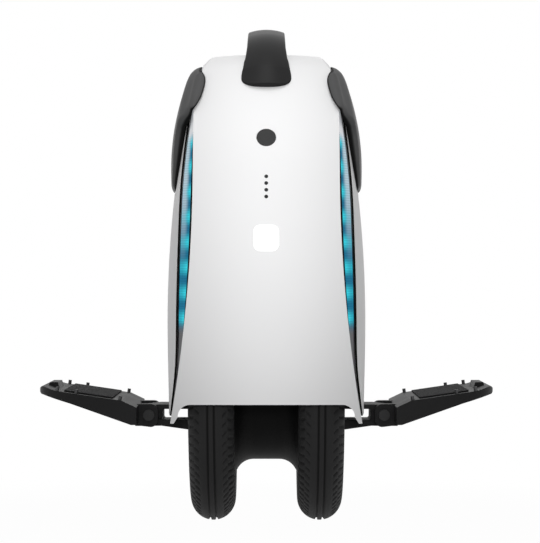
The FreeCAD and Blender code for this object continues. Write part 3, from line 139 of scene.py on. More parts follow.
# a moulded or coated surface: slow clouds in colour and roughness, and a grain in the bump
def coated(name, looks):
    finish = Finish(name)
    cloud = finish.noise(looks["cloudScale"], 3.0)
    grain = finish.noise(looks["grainScale"], looks.get("grainDetail", 2.0))
    finish.put(Base_Color=finish.blend(cloud, colour(*looks["dark"]), colour(*looks["light"])),
               Roughness=looks["rough"] + looks["roughSpread"] * (cloud - 0.5),
               Metallic=looks.get("metal", 0.0),
               Coat_Weight=looks.get("coat", 0.0),
               Coat_Roughness=looks.get("coatRough", 0.1),
               Specular_IOR_Level=looks.get("specular", 0.5),
               Emission_Color=colour(1.0, 1.0, 1.0),
               Emission_Strength=looks.get("glow", 0.0),
               Normal=finish.bump(grain, looks["bump"], looks["bumpDepth"]))
    return finish.material


finishes = {
    "white_gloss": dict(dark=(0.80, 0.80, 0.805), light=(0.84, 0.84, 0.843), cloudScale=5, grainScale=650,
                        rough=0.40, roughSpread=0.06, coat=0.06, coatRough=0.25, specular=0.3,
                        bump=0.03, bumpDepth=0.0003),
    # side shells: a satin white, less shiny than the panels, its base darker than theirs as painted shade
    "shell_satin": dict(dark=(0.74, 0.74, 0.745), light=(0.78, 0.78, 0.783), cloudScale=5, grainScale=650,
                        rough=0.45, roughSpread=0.06, specular=0.12, bump=0.03, bumpDepth=0.0003),
    "black_satin": dict(dark=(0.017, 0.017, 0.0173), light=(0.025, 0.025, 0.0254), cloudScale=14,
                        grainScale=1800, rough=0.36, roughSpread=0.1, specular=0.06,
                        bump=0.12, bumpDepth=0.0004),
    "dark_casting": dict(dark=(0.013, 0.013, 0.0133), light=(0.022, 0.022, 0.0224), cloudScale=22,
                         grainScale=900, grainDetail=4.0, rough=0.48, roughSpread=0.2, specular=0.11,
                         bump=0.25, bumpDepth=0.0004),
    # near-black for the hub drum, wheel arch and edge trims: their black paint made darker still as painted
    # shade under the arch and in the seams
    "drum": dict(dark=(0.002, 0.002, 0.002), light=(0.004, 0.004, 0.0041), cloudScale=22, grainScale=900,
                 grainDetail=4.0, rough=0.6, roughSpread=0.2, specular=0.05, bump=0.25, bumpDepth=0.0004),
    "pin": dict(dark=(0.028, 0.028, 0.0285), light=(0.038, 0.038, 0.0386), cloudScale=60, grainScale=1500,
                rough=0.42, roughSpread=0.2, specular=0.2, bump=0.1, bumpDepth=0.0002),
    "bare_alloy": dict(dark=(0.50, 0.51, 0.53), light=(0.62, 0.63, 0.65), cloudScale=30, grainScale=1200,
                       rough=0.38, roughSpread=0.2, metal=1.0, bump=0.1, bumpDepth=0.0002),
    "steel": dict(dark=(0.42, 0.42, 0.43), light=(0.56, 0.56, 0.57), cloudScale=40, grainScale=1500,
                  rough=0.34, roughSpread=0.2, metal=1.0, bump=0.08, bumpDepth=0.0002),
    "dark_steel": dict(dark=(0.05, 0.05, 0.052), light=(0.09, 0.09, 0.092), cloudScale=60, grainScale=1500,
                       rough=0.42, roughSpread=0.2, metal=0.6, bump=0.1, bumpDepth=0.0002),
    "iron": dict(dark=(0.2, 0.2, 0.21), light=(0.3, 0.3, 0.31), cloudScale=40, grainScale=1500,
                 rough=0.5, roughSpread=0.2, metal=0.9, bump=0.2, bumpDepth=0.0003),
    "copper": dict(dark=(0.5, 0.2, 0.08), light=(0.66, 0.3, 0.13), cloudScale=60, grainScale=900,
                   rough=0.32, roughSpread=0.2, metal=0.9, bump=0.3, bumpDepth=0.0004),
    "tube_rubber": dict(dark=(0.03, 0.03, 0.03), light=(0.045, 0.045, 0.045), cloudScale=30, grainScale=900,
                        rough=0.6, roughSpread=0.1, bump=0.1, bumpDepth=0.0003),
    "grip": dict(dark=(0.010, 0.010, 0.0103), light=(0.026, 0.026, 0.0265), cloudScale=900, grainScale=1400,
                 grainDetail=5.0, rough=0.85, roughSpread=0.1, specular=0.12, bump=0.8, bumpDepth=0.0008),
    "board": dict(dark=(0.01, 0.1, 0.04), light=(0.02, 0.2, 0.09), cloudScale=120, grainScale=700,
                  rough=0.4, roughSpread=0.1, bump=0.2, bumpDepth=0.0003),
    "battery_wrap": dict(dark=(0.02, 0.08, 0.22), light=(0.03, 0.12, 0.3), cloudScale=10, grainScale=260,
                         rough=0.35, roughSpread=0.1, bump=0.4, bumpDepth=0.001),
    "lens_white": dict(dark=(0.92, 0.92, 0.92), light=(0.97, 0.97, 0.97), cloudScale=20, grainScale=1200,
                       rough=0.35, roughSpread=0.05, coat=0.2, glow=0.25, bump=0.05, bumpDepth=0.0002),
    "lens_dark": dict(dark=(0.018, 0.018, 0.0185), light=(0.026, 0.026, 0.0265), cloudScale=60,
                      grainScale=1600, rough=0.4, roughSpread=0.1, specular=0.17, bump=0.1, bumpDepth=0.0002),
    "lens_red": dict(dark=(0.32, 0.008, 0.01), light=(0.45, 0.015, 0.018), cloudScale=30, grainScale=500,
                     rough=0.2, roughSpread=0.05, coat=0.5, bump=0.15, bumpDepth=0.0005),
}
materials = {name: coated(name, looks) for name, looks in finishes.items()}
print("coated finishes:", len(materials))

# tyre rubber: dull, with painted shade darkening the grooves and slots below the blocks that stand proud
rubberLooks = dict(groove=(0.009, 0.009, 0.009), dark=(0.020, 0.020, 0.0203), light=(0.031, 0.031, 0.0314),
                   cloudScale=25.0, cloudDetail=4.0, grainScale=1500.0, grainDetail=3.0, rough=0.6,
                   roughSpread=0.14, specular=0.1, bump=0.3, bumpDepth=0.0003)


def tyreRubber():
    looks = rubberLooks
    finish = Finish("tyreRubber")
    cloud = finish.noise(looks["cloudScale"], looks["cloudDetail"])
    grain = finish.noise(looks["grainScale"], looks["grainDetail"])
    worn = finish.blend(cloud, colour(*looks["dark"]), colour(*looks["light"]))
    # painted shade: the bottoms of the cuts take the darker groove colour, the blocks the rubber's own tone
    finish.put(Base_Color=finish.blend(finish.field("tread"), colour(*looks["groove"]), worn),
               Roughness=looks["rough"] + looks["roughSpread"] * cloud,
               Specular_IOR_Level=looks["specular"],
               Normal=finish.bump(grain, looks["bump"], looks["bumpDepth"]))
    return finish.material


# leg pad cover: soft black skin lightened to grey as a painted sheen, with a pebbled grain, and painted shade
# blacker along the rolled edge
# edge is the black of the painted rim shade; dark and light give the skin's grey, the cover's black lightened
# as a painted sheen
padLooks = dict(edge=(0.005, 0.005, 0.005), dark=(0.082, 0.082, 0.0827), light=(0.104, 0.104, 0.1048),
                cloudScale=18.0, cloudDetail=3.0, pebbleScale=850.0, rough=0.42, roughSpread=0.12,
                specular=0.06, bump=0.18, bumpDepth=0.0005)


def padCover():
    looks = padLooks
    finish = Finish("padCover")
    cloud = finish.noise(looks["cloudScale"], looks["cloudDetail"])
    pebble = finish.add("ShaderNodeTexVoronoi", {"feature": "SMOOTH_F1"},
                        {"Vector": finish.place(), "Scale": looks["pebbleScale"]})
    skin = finish.blend(cloud, colour(*looks["dark"]), colour(*looks["light"]))
    # painted shade: black at the rolled rim, where the cushion turns away from the light
    finish.put(Base_Color=finish.blend(finish.field("fromEdge"), colour(*looks["edge"]), skin),
               Roughness=looks["rough"] + looks["roughSpread"] * cloud,
               Specular_IOR_Level=looks["specular"],
               Normal=finish.bump(pebble, looks["bump"], looks["bumpDepth"]))
    return finish.material


# light strip: blue lamps near the panel, pale towards the seam, silver where it isn't lit, that silver darker
# low down as painted shade and lighter high up as painted light, with a faint glow there as a painted sheen;
# a black band beside the panel is the panel edge's painted shadow; heights are in millimetres, places across
# are shares of the width
stripLight = dict(litLow=196.0, litHigh=374.0, fade=7.0, lampLow=204.2, lampPitch=23.6, lampLength=10.5,
                  lampColour=(0.045, 0.68, 0.80), midColour=(0.012, 0.17, 0.30),
                  paleColour=(0.46, 0.60, 0.68), paleLow=245.0, paleHigh=335.0, paleAcross=(0.4, 0.75),
                  dimAcross=(0.3, 0.85), dimLow=0.45, dimRise=0.5, silverLow=(0.26, 0.265, 0.275),
                  silverHigh=(0.80, 0.81, 0.83), ribPitch=2.35, ribShade=0.25, border=0.32,
                  borderBlend=0.04, borderColour=(0.004, 0.004, 0.004), backing=(0.01, 0.01, 0.01),
                  sheen=(0.24, 0.25, 0.26), strength=1.0, rough=0.5, roughSpread=0.1, roughScale=60.0)


def stripGlow():
    looks = stripLight
    finish = Finish("stripGlow")
    split = finish.field("along", "Vector")
    across = finish.add("ShaderNodeSeparateXYZ", None, {0: split}, 0)
    height = finish.add("ShaderNodeSeparateXYZ", None, {0: split}, 1)
    fade = looks["fade"]
    lit = (finish.between(height, looks["litLow"] - fade, looks["litLow"] + fade)
           * (1 - finish.between(height, looks["litHigh"] - fade, looks["litHigh"] + fade)))
    away = ((height - looks["lampLow"]) / looks["lampPitch"]).zigzag() * looks["lampPitch"]
    # each lamp fades along the strip, and across it further up
    high = finish.between(height, looks["paleLow"], looks["paleHigh"])
    dimmed = (looks["dimLow"] + looks["dimRise"] * high) * finish.between(across, *looks["dimAcross"])
    lamp = (1 - finish.between(away, 0.0, looks["lampLength"])) * (1 - dimmed)
    pale = finish.between(across, *looks["paleAcross"]) * high
    body = finish.blend(pale, colour(*looks["midColour"]), colour(*looks["paleColour"]))
    rib = (height / looks["ribPitch"]).zigzag() * 2.0
    # painted shadow of the panel's edge: a black band along the strip's side by the panel, on the glow and on
    # the silver
    edge = finish.between(across, looks["border"] - looks["borderBlend"], looks["border"])
    shade = (1 - looks["ribShade"] * rib) * edge
    black = colour(0.0, 0.0, 0.0)
    glow = finish.blend(shade, black, finish.blend(lamp, body, colour(*looks["lampColour"])))
    # unlit silver: darker low down as painted shade, lighter high up as painted light
    metal = finish.blend(high, colour(*looks["silverLow"]), colour(*looks["silverHigh"]))
    silver = finish.blend(edge, colour(*looks["borderColour"]), metal)
    # painted sheen: a faint glow on the unlit silver high up
    sheen = finish.blend(high * edge, black, colour(*looks["sheen"]))
    finish.put(Base_Color=finish.blend(lit, silver, colour(*looks["backing"])),
               Roughness=looks["rough"] + looks["roughSpread"] * finish.noise(looks["roughScale"]),
               Specular_IOR_Level=0.0,
               Emission_Color=finish.blend(lit, sheen, glow),
               Emission_Strength=looks["strength"])
    return finish.material


materials["tyre_rubber"] = tyreRubber()
materials["pad_cover"] = padCover()
materials["strip_blue"] = stripGlow()
# the hub, arch and trims take the near-black painted shade finish
finishOf = {"wheel_rim": "drum", "wheel_arch": "drum", "left_edge_trim": "drum", "right_edge_trim": "drum",
            "hinge_pins": "pin"}
slotOf = {entry["node"]: entry["material_slot"] for entry in frame["record"]["subparts"]}
for node, slot in slotOf.items():
    shown = nodes[node].data.materials
    shown.clear()
    shown.append(materials[finishOf.get(node, slot)])
print("finishes set on the nodes")


def placed(name, data):
    thing = bpy.data.objects.new(name, data)
    bpy.context.collection.objects.link(thing)
    return thing


def shadeSmooth(mesh):
    mesh.polygons.foreach_set("use_smooth", np.ones(len(mesh.polygons), dtype=bool))


# quads between neighbouring rows and columns of a point grid; rings close on themselves, ends get a fan
def gridPiece(name, points, material, ringRows=False, caps=False, fields=None):
    rows, columns = points.shape[:2]
    index = np.arange(rows * columns).reshape(rows, columns)
    index = np.hstack([index, index[:, :1]])
    if ringRows:
        index = np.vstack([index, index[:1]])
    quads = np.stack([index[:-1, :-1], index[:-1, 1:], index[1:, 1:], index[1:, :-1]], -1).reshape(-1, 4)
    places = points.reshape(-1, 3)
    faces = quads.tolist()
    if caps:
        places = np.vstack([places, points[0].mean(0), points[-1].mean(0)])
        low = np.stack([index[0, 1:], index[0, :-1], np.full(columns, rows * columns)], -1)
        high = np.stack([index[-1, :-1], index[-1, 1:], np.full(columns, rows * columns + 1)], -1)
        faces += low.tolist() + high.tolist()
    mesh = bpy.data.meshes.new(name)
    mesh.from_pydata((places * mm).tolist(), [], faces)
    for key, values in (fields or {}).items():
        flat = values.reshape(rows * columns, -1)
        if caps:
            flat = np.vstack([flat, flat[:1], flat[-1:]])
        kind, member = ("FLOAT_VECTOR", "vector") if flat.shape[1] == 3 else ("FLOAT", "value")
        attribute = mesh.attributes.new(key, kind, "POINT")
        attribute.data.foreach_set(member, flat.astype(np.float32).ravel())
    shadeSmooth(mesh)
    mesh.materials.append(material)
    mesh.update()
    work = bmesh.new()
    work.from_mesh(mesh)
    bmesh.ops.recalc_face_normals(work, faces=work.faces)
    work.to_mesh(mesh)
    work.free()
    return placed(name, mesh)


def dress(piece, body, node):
    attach(piece, body)
    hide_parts(node)


# a cubic through a table, its slopes taken across the neighbours
def smoothTable(places, values, where):
    places = np.array(places, float)
    values = np.array(values, float)
    last = len(places) - 1
    below = np.maximum(np.arange(last + 1) - 1, 0)
    above = np.minimum(np.arange(last + 1) + 1, last)
    slope = (values[above] - values[below]) / (places[above] - places[below])
    spot = np.clip(np.searchsorted(places, where, side="right") - 1, 0, last - 1)
    span = places[spot + 1] - places[spot]
    step = np.clip((where - places[spot]) / span, 0, 1)
    return ((1 + 2 * step) * (1 - step) ** 2 * values[spot] + step * (1 - step) ** 2 * slope[spot] * span
            + step ** 2 * (3 - 2 * step) * values[spot + 1] + step ** 2 * (step - 1) * slope[spot + 1] * span)


def smoothStep(value, low, high):
    share = np.clip((value - low) / (high - low), 0, 1)
    return share * share * (3 - 2 * share)


# height of a quarter round at a distance from its foot, as a share of its radius
def quarterRound(distance, radius):
    return np.sqrt(np.maximum(1 - (1 - np.clip(distance / radius, 0, 1)) ** 2, 0))


def unit(vectors):
    return vectors / np.linalg.norm(vectors, axis=-1, keepdims=True)


# length of a line of points up to each of them
def lengthAlong(points):
    steps = np.linalg.norm(np.diff(points, axis=-2), axis=-1)
    return np.concatenate([np.zeros(steps.shape[:-1] + (1,)), np.cumsum(steps, -1)], -1)


def onSide(points, side):
    return points if side == "right" else points * np.array([-1.0, 1.0, 1.0])


# body forms in millimetres, as the solids have them; the tables go by the share of the shell's height
bodyForm = dict(frontRadius=302.0, frontReach=205.0, frontMiddle=240.0, deck=456.0, deckCorner=40.0,
                panelWall=3.0, gap=0.35, topHalf=51.4, shoulderHalf=60.6, shoulder=442.0, waistHalf=68.5,
                waistTop=402.0, waistLow=336.0, flare=1256.0, shellHalf=98.0, shellWall=2.5, shellLow=112.0,
                shellHigh=452.5, seamInset=26.0, trimWidth=2.0, trimDepth=2.7, notchHalf=29.0, notchRise=5.5,
                notchBlend=2.5, shellRows=100, shellColumns=201,
                heights=(0, 0.14, 0.30, 0.47, 0.65, 0.82, 0.935, 0.975, 1),
                widths=(0.977, 0.996, 1, 0.976, 0.915, 0.82, 0.715, 0.655, 0.575),
                seams=(0.925, 0.872, 0.86, 0.845, 0.82, 0.757, 0.68, 0.622, 0.55),
                insets=(0.54, 0.85, 1, 1, 1, 0.92, 0.77, 0.62, 0.5))


# side profile: how far the deck corner's centre lies above the front arc's, how far the arc's centre lies
# behind the axle, and how far the corner's lies before it
def profileCentres():
    form = bodyForm
    rise = form["deck"] - form["deckCorner"] - form["frontMiddle"]
    behind = form["frontRadius"] - form["frontReach"]
    before = math.sqrt((form["frontRadius"] - form["deckCorner"]) ** 2 - rise ** 2) - behind
    return rise, behind, before


# reach of the panel's face, or of a face some depth inside it: the front arc, then the deck's corner
def frontReachAt(height, depth=0.0):
    form = bodyForm
    rise, behind, before = profileCentres()
    radius = form["frontRadius"] - depth
    bend = form["frontMiddle"] + rise / (form["frontRadius"] - form["deckCorner"]) * radius
    low = np.sqrt(radius ** 2 - (np.minimum(height, bend) - form["frontMiddle"]) ** 2) - behind
    over = np.maximum(height, bend) - (form["deck"] - form["deckCorner"])
    high = before + np.sqrt(np.maximum((form["deckCorner"] - depth) ** 2 - over ** 2, 0))
    return np.where(height > bend, high, low)


def panelHalfAt(height):
    form = bodyForm
    drop = np.maximum(form["waistLow"] - height, 0)
    flared = form["waistHalf"] + form["flare"] - np.sqrt(form["flare"] ** 2 - drop ** 2)
    upper = np.interp(height, (form["waistTop"], form["shoulder"], form["deck"]),
                      (form["waistHalf"], form["shoulderHalf"], form["topHalf"]))
    return np.where(height >= form["waistTop"], upper, flared)


def shellTable(name, height):
    share = (height - bodyForm["shellLow"]) / (bodyForm["shellHigh"] - bodyForm["shellLow"])
    return smoothTable(bodyForm["heights"], bodyForm[name], share)


def shellHalfAt(height):
    return bodyForm["shellHalf"] * shellTable("widths", height)


def seamHalfAt(height):
    return bodyForm["shellHalf"] * shellTable("seams", height)


def seamReachAt(height):
    return frontReachAt(height) - bodyForm["seamInset"] * shellTable("insets", height)


def shellReachAt(height):
    return seamReachAt(height) - bodyForm["trimDepth"] - bodyForm["gap"]


# sideways place of the shell's outer face: an arc through its two seams and its middle
def shellFace(height, along):
    middle = shellHalfAt(height)
    drop = middle - seamHalfAt(height)
    radius = (seamReachAt(height) ** 2 + drop ** 2) / (2 * drop)
    return middle - radius + np.sqrt(np.maximum(radius ** 2 - along ** 2, 0))


# side shells: each level is a thin band, the shell's arc outwards and the same arc one wall further in; the
# lowest level rises over the hanger's arm
def sideShell(side):
    form = bodyForm
    share = np.linspace(0, 1, form["shellRows"])[:, None]
    turn = np.linspace(-1, 1, form["shellColumns"])[None, :]
    beside = np.abs(turn) * shellReachAt(np.array([[form["shellLow"]]]))
    notch = 1 - smoothStep(beside, form["notchHalf"], form["notchHalf"] + form["notchBlend"])
    low = form["shellLow"] + form["notchRise"] * notch
    height = low + share * (form["shellHigh"] - low)
    along = turn * shellReachAt(height)
    outer = np.stack([shellFace(height, along), along, height], -1)
    inner = outer - np.array([form["shellWall"], 0, 0])
    ring = np.concatenate([outer, inner[:, ::-1]], 1)
    return gridPiece(side + "ShellSkin", onSide(ring, side), materials["shell_satin"], caps=True)


for side in ("right", "left"):
    dress(sideShell(side), "chassis", side + "_side_shell")
print("side shells made")

# leg pads: cushions laid along the body from the flank's middle to their ends, which run over the strip's
# top end and the panel's shoulder; each point stands off by the thickness, rounded down at the rim
padForm = dict(low=326.0, high=443.0, thickness=9.4, seat=0.45, lift=0.3, rim=8.0, endRim=7.0, thinEnd=0.15,
               flap=0.5, flapStart=4.0, flapFull=22.0, edgeStart=0.4, edgeFull=1.7, overStart=0.02,
               overRun=14.0, levels=110, steps=70, flankSteps=60, slopeSteps=24, overSteps=20,
               blur=(1, 2, 3, 2, 1),
               crown=(0.3, 0.5, 0.68, 0.83, 0.93, 0.99, 1, 0.99, 0.95, 0.86, 0.66),
               endHeights=(326, 336, 348, 356, 365, 373, 381, 390, 398, 408, 418, 430, 437, 443),
               ends=(-64, -50, -32, -24, -17, -11, -4, 9, 22, 27, 28, 26, 20, 9))


# each level's way over the body: the flank, the slope from the seam to the panel's edge, and the panel's face
def padCourse(height):
    form = padForm
    shellEnd = seamReachAt(height) - bodyForm["trimDepth"]
    flank = np.linspace(0, 1, form["flankSteps"])[None, :] * shellEnd
    onShell = np.stack([shellFace(height, flank), -flank], -1)
    seam = np.stack([seamHalfAt(height) + form["lift"], -seamReachAt(height) - form["lift"]], -1)
    edge = np.stack([panelHalfAt(height) + form["lift"], -frontReachAt(height) - form["lift"]], -1)
    inside = edge - np.array([form["overRun"], 0.0])
    slope = seam + (edge - seam) * np.linspace(0, 1, form["slopeSteps"])[None, :, None]
    over = edge + (inside - edge) * np.linspace(form["overStart"], 1, form["overSteps"])[None, :, None]
    return np.concatenate([onShell, slope, over], 1)


# direction square to each level's line, its bends softened over the neighbours
def padOutward(base):
    weights = np.array(padForm["blur"]) / sum(padForm["blur"])
    reach = len(weights) // 2
    ahead = unit(np.gradient(base, axis=1))
    padded = np.concatenate([ahead[:, :1]] * reach + [ahead] + [ahead[:, -1:]] * reach, 1)
    columns = ahead.shape[1]
    ahead = unit(sum(weight * padded[:, place:place + columns] for place, weight in enumerate(weights)))
    return np.stack([-ahead[..., 1], ahead[..., 0]], -1)


def legPad(side):
    form = padForm
    lift = (1 - np.cos(np.linspace(0, math.pi, form["levels"]))) / 2
    height = (form["low"] + lift * (form["high"] - form["low"]))[:, None]
    course = padCourse(height)
    length = lengthAlong(course)
    atSeam = length[:, form["flankSteps"]][:, None]
    reach = atSeam + smoothTable(form["endHeights"], form["ends"], height)
    travel = np.sin(np.linspace(0, 1, form["steps"]) * math.pi / 2)[None, :] * reach
    base = np.stack([[np.interp(travel[row], length[row], course[row, :, axis]) for axis in (0, 1)]
                     for row in range(len(lift))]).transpose(0, 2, 1)
    outward = padOutward(base)
    share = (height - form["low"]) / (form["high"] - form["low"])
    crown = smoothTable(np.linspace(0, 1, len(form["crown"])), form["crown"], share)
    rim = quarterRound(reach - travel, form["rim"])
    ends = quarterRound(np.minimum(height - form["low"], form["high"] - height), form["endRim"])
    flap = 1 - form["flap"] * smoothStep(travel - atSeam, form["flapStart"], form["flapFull"])
    thick = form["thickness"] * crown * rim * flap * (form["thinEnd"] + (1 - form["thinEnd"]) * ends)
    level = np.broadcast_to(height, travel.shape)[..., None]
    outer = np.concatenate([base + outward * (form["seat"] + thick)[..., None], level], -1)
    inner = np.concatenate([base + outward * form["seat"], level], -1)
    rear = np.array([1.0, -1.0, 1.0])
    ring = np.concatenate([outer[:, ::-1], outer[:, 1:] * rear, inner[:, -2::-1] * rear, inner[:, 1:-1]], 1)
    # share out of the painted rim shade: black in the last 0.4 millimetres to the rim, fading out by 1.7, and
    # black on the underside
    top = smoothStep(reach - travel, form["edgeStart"], form["edgeFull"])
    under = np.zeros_like(top)
    fromEdge = np.concatenate([top[:, ::-1], top[:, 1:], under[:, -2::-1], under[:, 1:-1]], 1)
    return gridPiece(side + "PadCushion", onSide(ring, side), materials["pad_cover"], caps=True,
                     fields={"fromEdge": fromEdge})


for side in ("right", "left"):
    cushion = legPad(side)
    dress(cushion, "chassis", side + "_leg_pad")
print("leg pads made")

# light strips: each level is straight from under the panel's edge to the trim, sunk by a rib that follows
# one minus the cosine of the height over the pitch
stripForm = dict(low=113.0, high=447.0, tuck=1.5, wall=2.0, ribPitch=stripLight["ribPitch"], ribHeight=0.18,
                 rows=640, columns=14)


def lightStrip(end, side):
    form = stripForm
    body = bodyForm
    height = np.linspace(form["low"], form["high"], form["rows"])
    panelHalf = panelHalfAt(height)
    trimInner = np.maximum(seamHalfAt(height) - body["trimWidth"], panelHalf + body["gap"])
    inner = np.stack([panelHalf - form["tuck"], -frontReachAt(height, body["panelWall"] + body["gap"])], -1)
    outer = np.stack([trimInner - 2 * body["gap"], -seamReachAt(height)], -1)
    course = unit(outer - inner)
    inward = np.stack([-course[:, 1], course[:, 0]], -1)
    rib = form["ribHeight"] * (1 - np.cos(2 * math.pi * height / form["ribPitch"])) / 2
    share = np.linspace(0, 1, form["columns"])
    width = (outer - inner)[:, None]
    front = inner[:, None] + width * share[None, :, None] + (inward * rib[:, None])[:, None]
    back = inner[:, None] + width * share[None, ::-1, None] + (inward * form["wall"])[:, None]
    flat = np.concatenate([front, back], 1)
    ring = np.concatenate([flat, np.broadcast_to(height[:, None, None], flat.shape[:2] + (1,))], -1)
    across = np.broadcast_to(np.concatenate([share, share[::-1]])[None], flat.shape[:2])
    along = np.stack([across, ring[..., 2], 0 * across], -1)
    ring = onSide(ring, side) * np.array([1, 1 if end == "front" else -1, 1])
    return gridPiece(end + side.capitalize() + "Glow", ring, materials["strip_blue"], caps=True,
                     fields={"along": along})


for end in ("front", "rear"):
    for side in ("right", "left"):
        dress(lightStrip(end, side), "chassis", "%s_%s_light_strip" % (end, side))
print("light strips made")

# tyres: a closed section turned about the axle, with grooves and slots cut into its crown; each row of slots
# has the arcs where it starts and ends, its slant and its depth
tyreForm = dict(radius=174.0, width=44.0, spacing=105.0, beadRadius=127.0, beadWidth=29.4, beadHeight=5.0,
                beadWall=4.0, wallRadius=30.0, wallRows=9, crownRows=75, blocks=100, perBlock=9,
                grooveAt=3.2, grooveHalf=0.9, grooveDepth=2.2, grooveSoft=(0.7, 1.5),
                slotRows=((12.0, 17.5, 0.55, 1.4), (18.5, 26.0, -0.5, 1.3), (27.0, 34.0, 0.25, 0.9)),
                rowSoft=0.6, slotSoft=(0.9, 2.1), shadeDepth=2.0, farArc=99.0)


# the section, from one bead over the crown to the other and back inside, with each point's outward direction
# and its arc from the crown's middle, which is past every cut where the point isn't on the crown
def tyreSection():
    form = tyreForm
    half = form["width"] / 2
    crownRadius = form["radius"] - half
    beadLow = form["beadRadius"]
    beadTop = beadLow + form["beadHeight"]
    beadHalf = form["beadWidth"] / 2
    beadIn = beadHalf - form["beadWall"]
    chord = np.array([half - beadHalf, crownRadius - beadTop])
    length = np.linalg.norm(chord)
    rise = math.sqrt(form["wallRadius"] ** 2 - length ** 2 / 4)
    middle = np.array([(half + beadHalf) / 2, (crownRadius + beadTop) / 2])
    centre = middle + rise * np.array([-chord[1], chord[0]]) / length
    first = math.atan2(beadTop - centre[1], beadHalf - centre[0])
    last = math.atan2(crownRadius - centre[1], half - centre[0])
    turn = np.linspace(first, last, form["wallRows"])[:-1]
    wall = centre + form["wallRadius"] * np.stack([np.cos(turn), np.sin(turn)], -1)
    lean = np.linspace(math.pi / 2, -math.pi / 2, form["crownRows"])
    crown = np.stack([half * np.sin(lean), crownRadius + half * np.cos(lean)], -1)
    inside = np.array([[-beadHalf, beadLow], [-beadIn, beadLow], [-beadIn, beadTop],
                       [beadIn, beadTop], [beadIn, beadLow], [beadHalf, beadLow]])
    section = np.concatenate([wall, crown, wall[::-1] * np.array([-1, 1]), inside])
    onCrown = slice(len(wall), len(wall) + len(crown))
    normal = np.zeros_like(section)
    normal[onCrown] = np.stack([np.sin(lean), np.cos(lean)], -1)
    arc = np.full(len(section), form["farArc"])
    arc[onCrown] = half * lean
    return section, normal, arc


# depth of the cuts: two grooves all round, and on each side rows of slanted slots, one in each block
def treadDepth(arc, around):
    form = tyreForm
    pitch = 2 * math.pi * form["radius"] / form["blocks"]
    aside = np.abs(arc)
    off = np.abs(aside - form["grooveAt"]) / form["grooveHalf"]
    deep = np.zeros((len(around), len(arc)))
    deep += form["grooveDepth"] * (1 - smoothStep(off, *form["grooveSoft"]))[None, :]
    soft = form["rowSoft"]
    for number, (low, high, slant, depth) in enumerate(form["slotRows"]):
        inside = smoothStep(aside, low - soft, low + soft) * (1 - smoothStep(aside, high - soft, high + soft))
        line = slant * (aside - low) + number * pitch / 2 + np.where(arc > 0, pitch / 4, 0)
        away = np.abs((around[:, None] - line[None, :] + pitch / 2) % pitch - pitch / 2)
        deep += depth * inside[None, :] * (1 - smoothStep(away, *form["slotSoft"]))
    return deep


def tyre(side):
    form = tyreForm
    section, normal, arc = tyreSection()
    angle = np.linspace(0, 2 * math.pi, form["blocks"] * form["perBlock"], endpoint=False)
    deep = treadDepth(arc, angle * form["radius"])
    reach = section[None, :, 1] - deep * normal[None, :, 1]
    sideways = section[None, :, 0] - deep * normal[None, :, 0] + form["spacing"] / 2
    along = reach * np.sin(angle)[:, None]
    up = form["radius"] + reach * np.cos(angle)[:, None]
    points = np.stack([sideways, along, up], -1)
    # share out of the painted groove shade: 0 at the bottom of a cut, 1 on the blocks
    tread = 1 - np.clip(deep / form["shadeDepth"], 0, 1)
    return gridPiece(side + "TyreTread", onSide(points, side), materials["tyre_rubber"], ringRows=True,
                     fields={"tread": tread})


for side in ("right", "left"):
    dress(tyre(side), "wheel", side + "_tyre")
print("tyres made")

# body panels: the side profile carried across the width, lower towards the edges by the cube of the share
# across, with windows cut out; each window has its height, then its sizes
panelForm = dict(foot=104.0, footInner=87.4, apron=123.0, apronHalf=83.0, apronCorner=12.0, apronSteps=17,
                 apronDepths=(120.0, 240.0), seam=66.05, crown=2.2, edge=0.6, plugReach=9.0,
                 arcRows=130, cornerRows=30, deckRows=8, columns=61, dotSteps=32,
                 screws=(438.0, 12.0, 2.1), button=(373.0, 9.3), dots=(336.0, 6.3, 4, 1.8),
                 headlight=(278.5, 24.2, 24.7, 6.5), tail=(392.0, 64.2, 14.2, 5.0), port=(335.0, 9.6))


def panelSkin(end):
    form = panelForm
    body = bodyForm
    radius, corner, deck = body["frontRadius"], body["deckCorner"], body["deck"]
    rise, behind, before = profileCentres()
    bend = math.asin(rise / (radius - corner))
    foot = math.asin((form["foot"] - body["frontMiddle"]) / radius)
    low = np.linspace(foot, bend, form["arcRows"])
    high = np.linspace(bend, math.pi / 2, form["cornerRows"])[1:]
    flat = np.linspace(before, form["seam"], form["deckRows"])[1:]
    lean = np.concatenate([low, high, np.full(len(flat), math.pi / 2)])
    reach = np.concatenate([radius * np.cos(low) - behind, before + corner * np.cos(high), flat])
    height = np.concatenate([body["frontMiddle"] + radius * np.sin(low),
                             deck - corner + corner * np.sin(high), np.full(len(flat), deck)])
    across = np.linspace(-1, 1, form["columns"])
    fall = np.concatenate([form["crown"] * np.abs(across) ** 3, np.full(len(across), body["panelWall"])])
    sideways = np.concatenate([across, across[::-1]])[None, :] * panelHalfAt(height)[:, None]
    along = -(reach[:, None] - fall[None, :] * np.cos(lean)[:, None])
    up = height[:, None] - fall[None, :] * np.sin(lean)[:, None]
    points = np.stack([sideways, along if end == "front" else -along, up], -1)
    return gridPiece(end + "PanelSkin", points, materials["white_gloss"], caps=True)


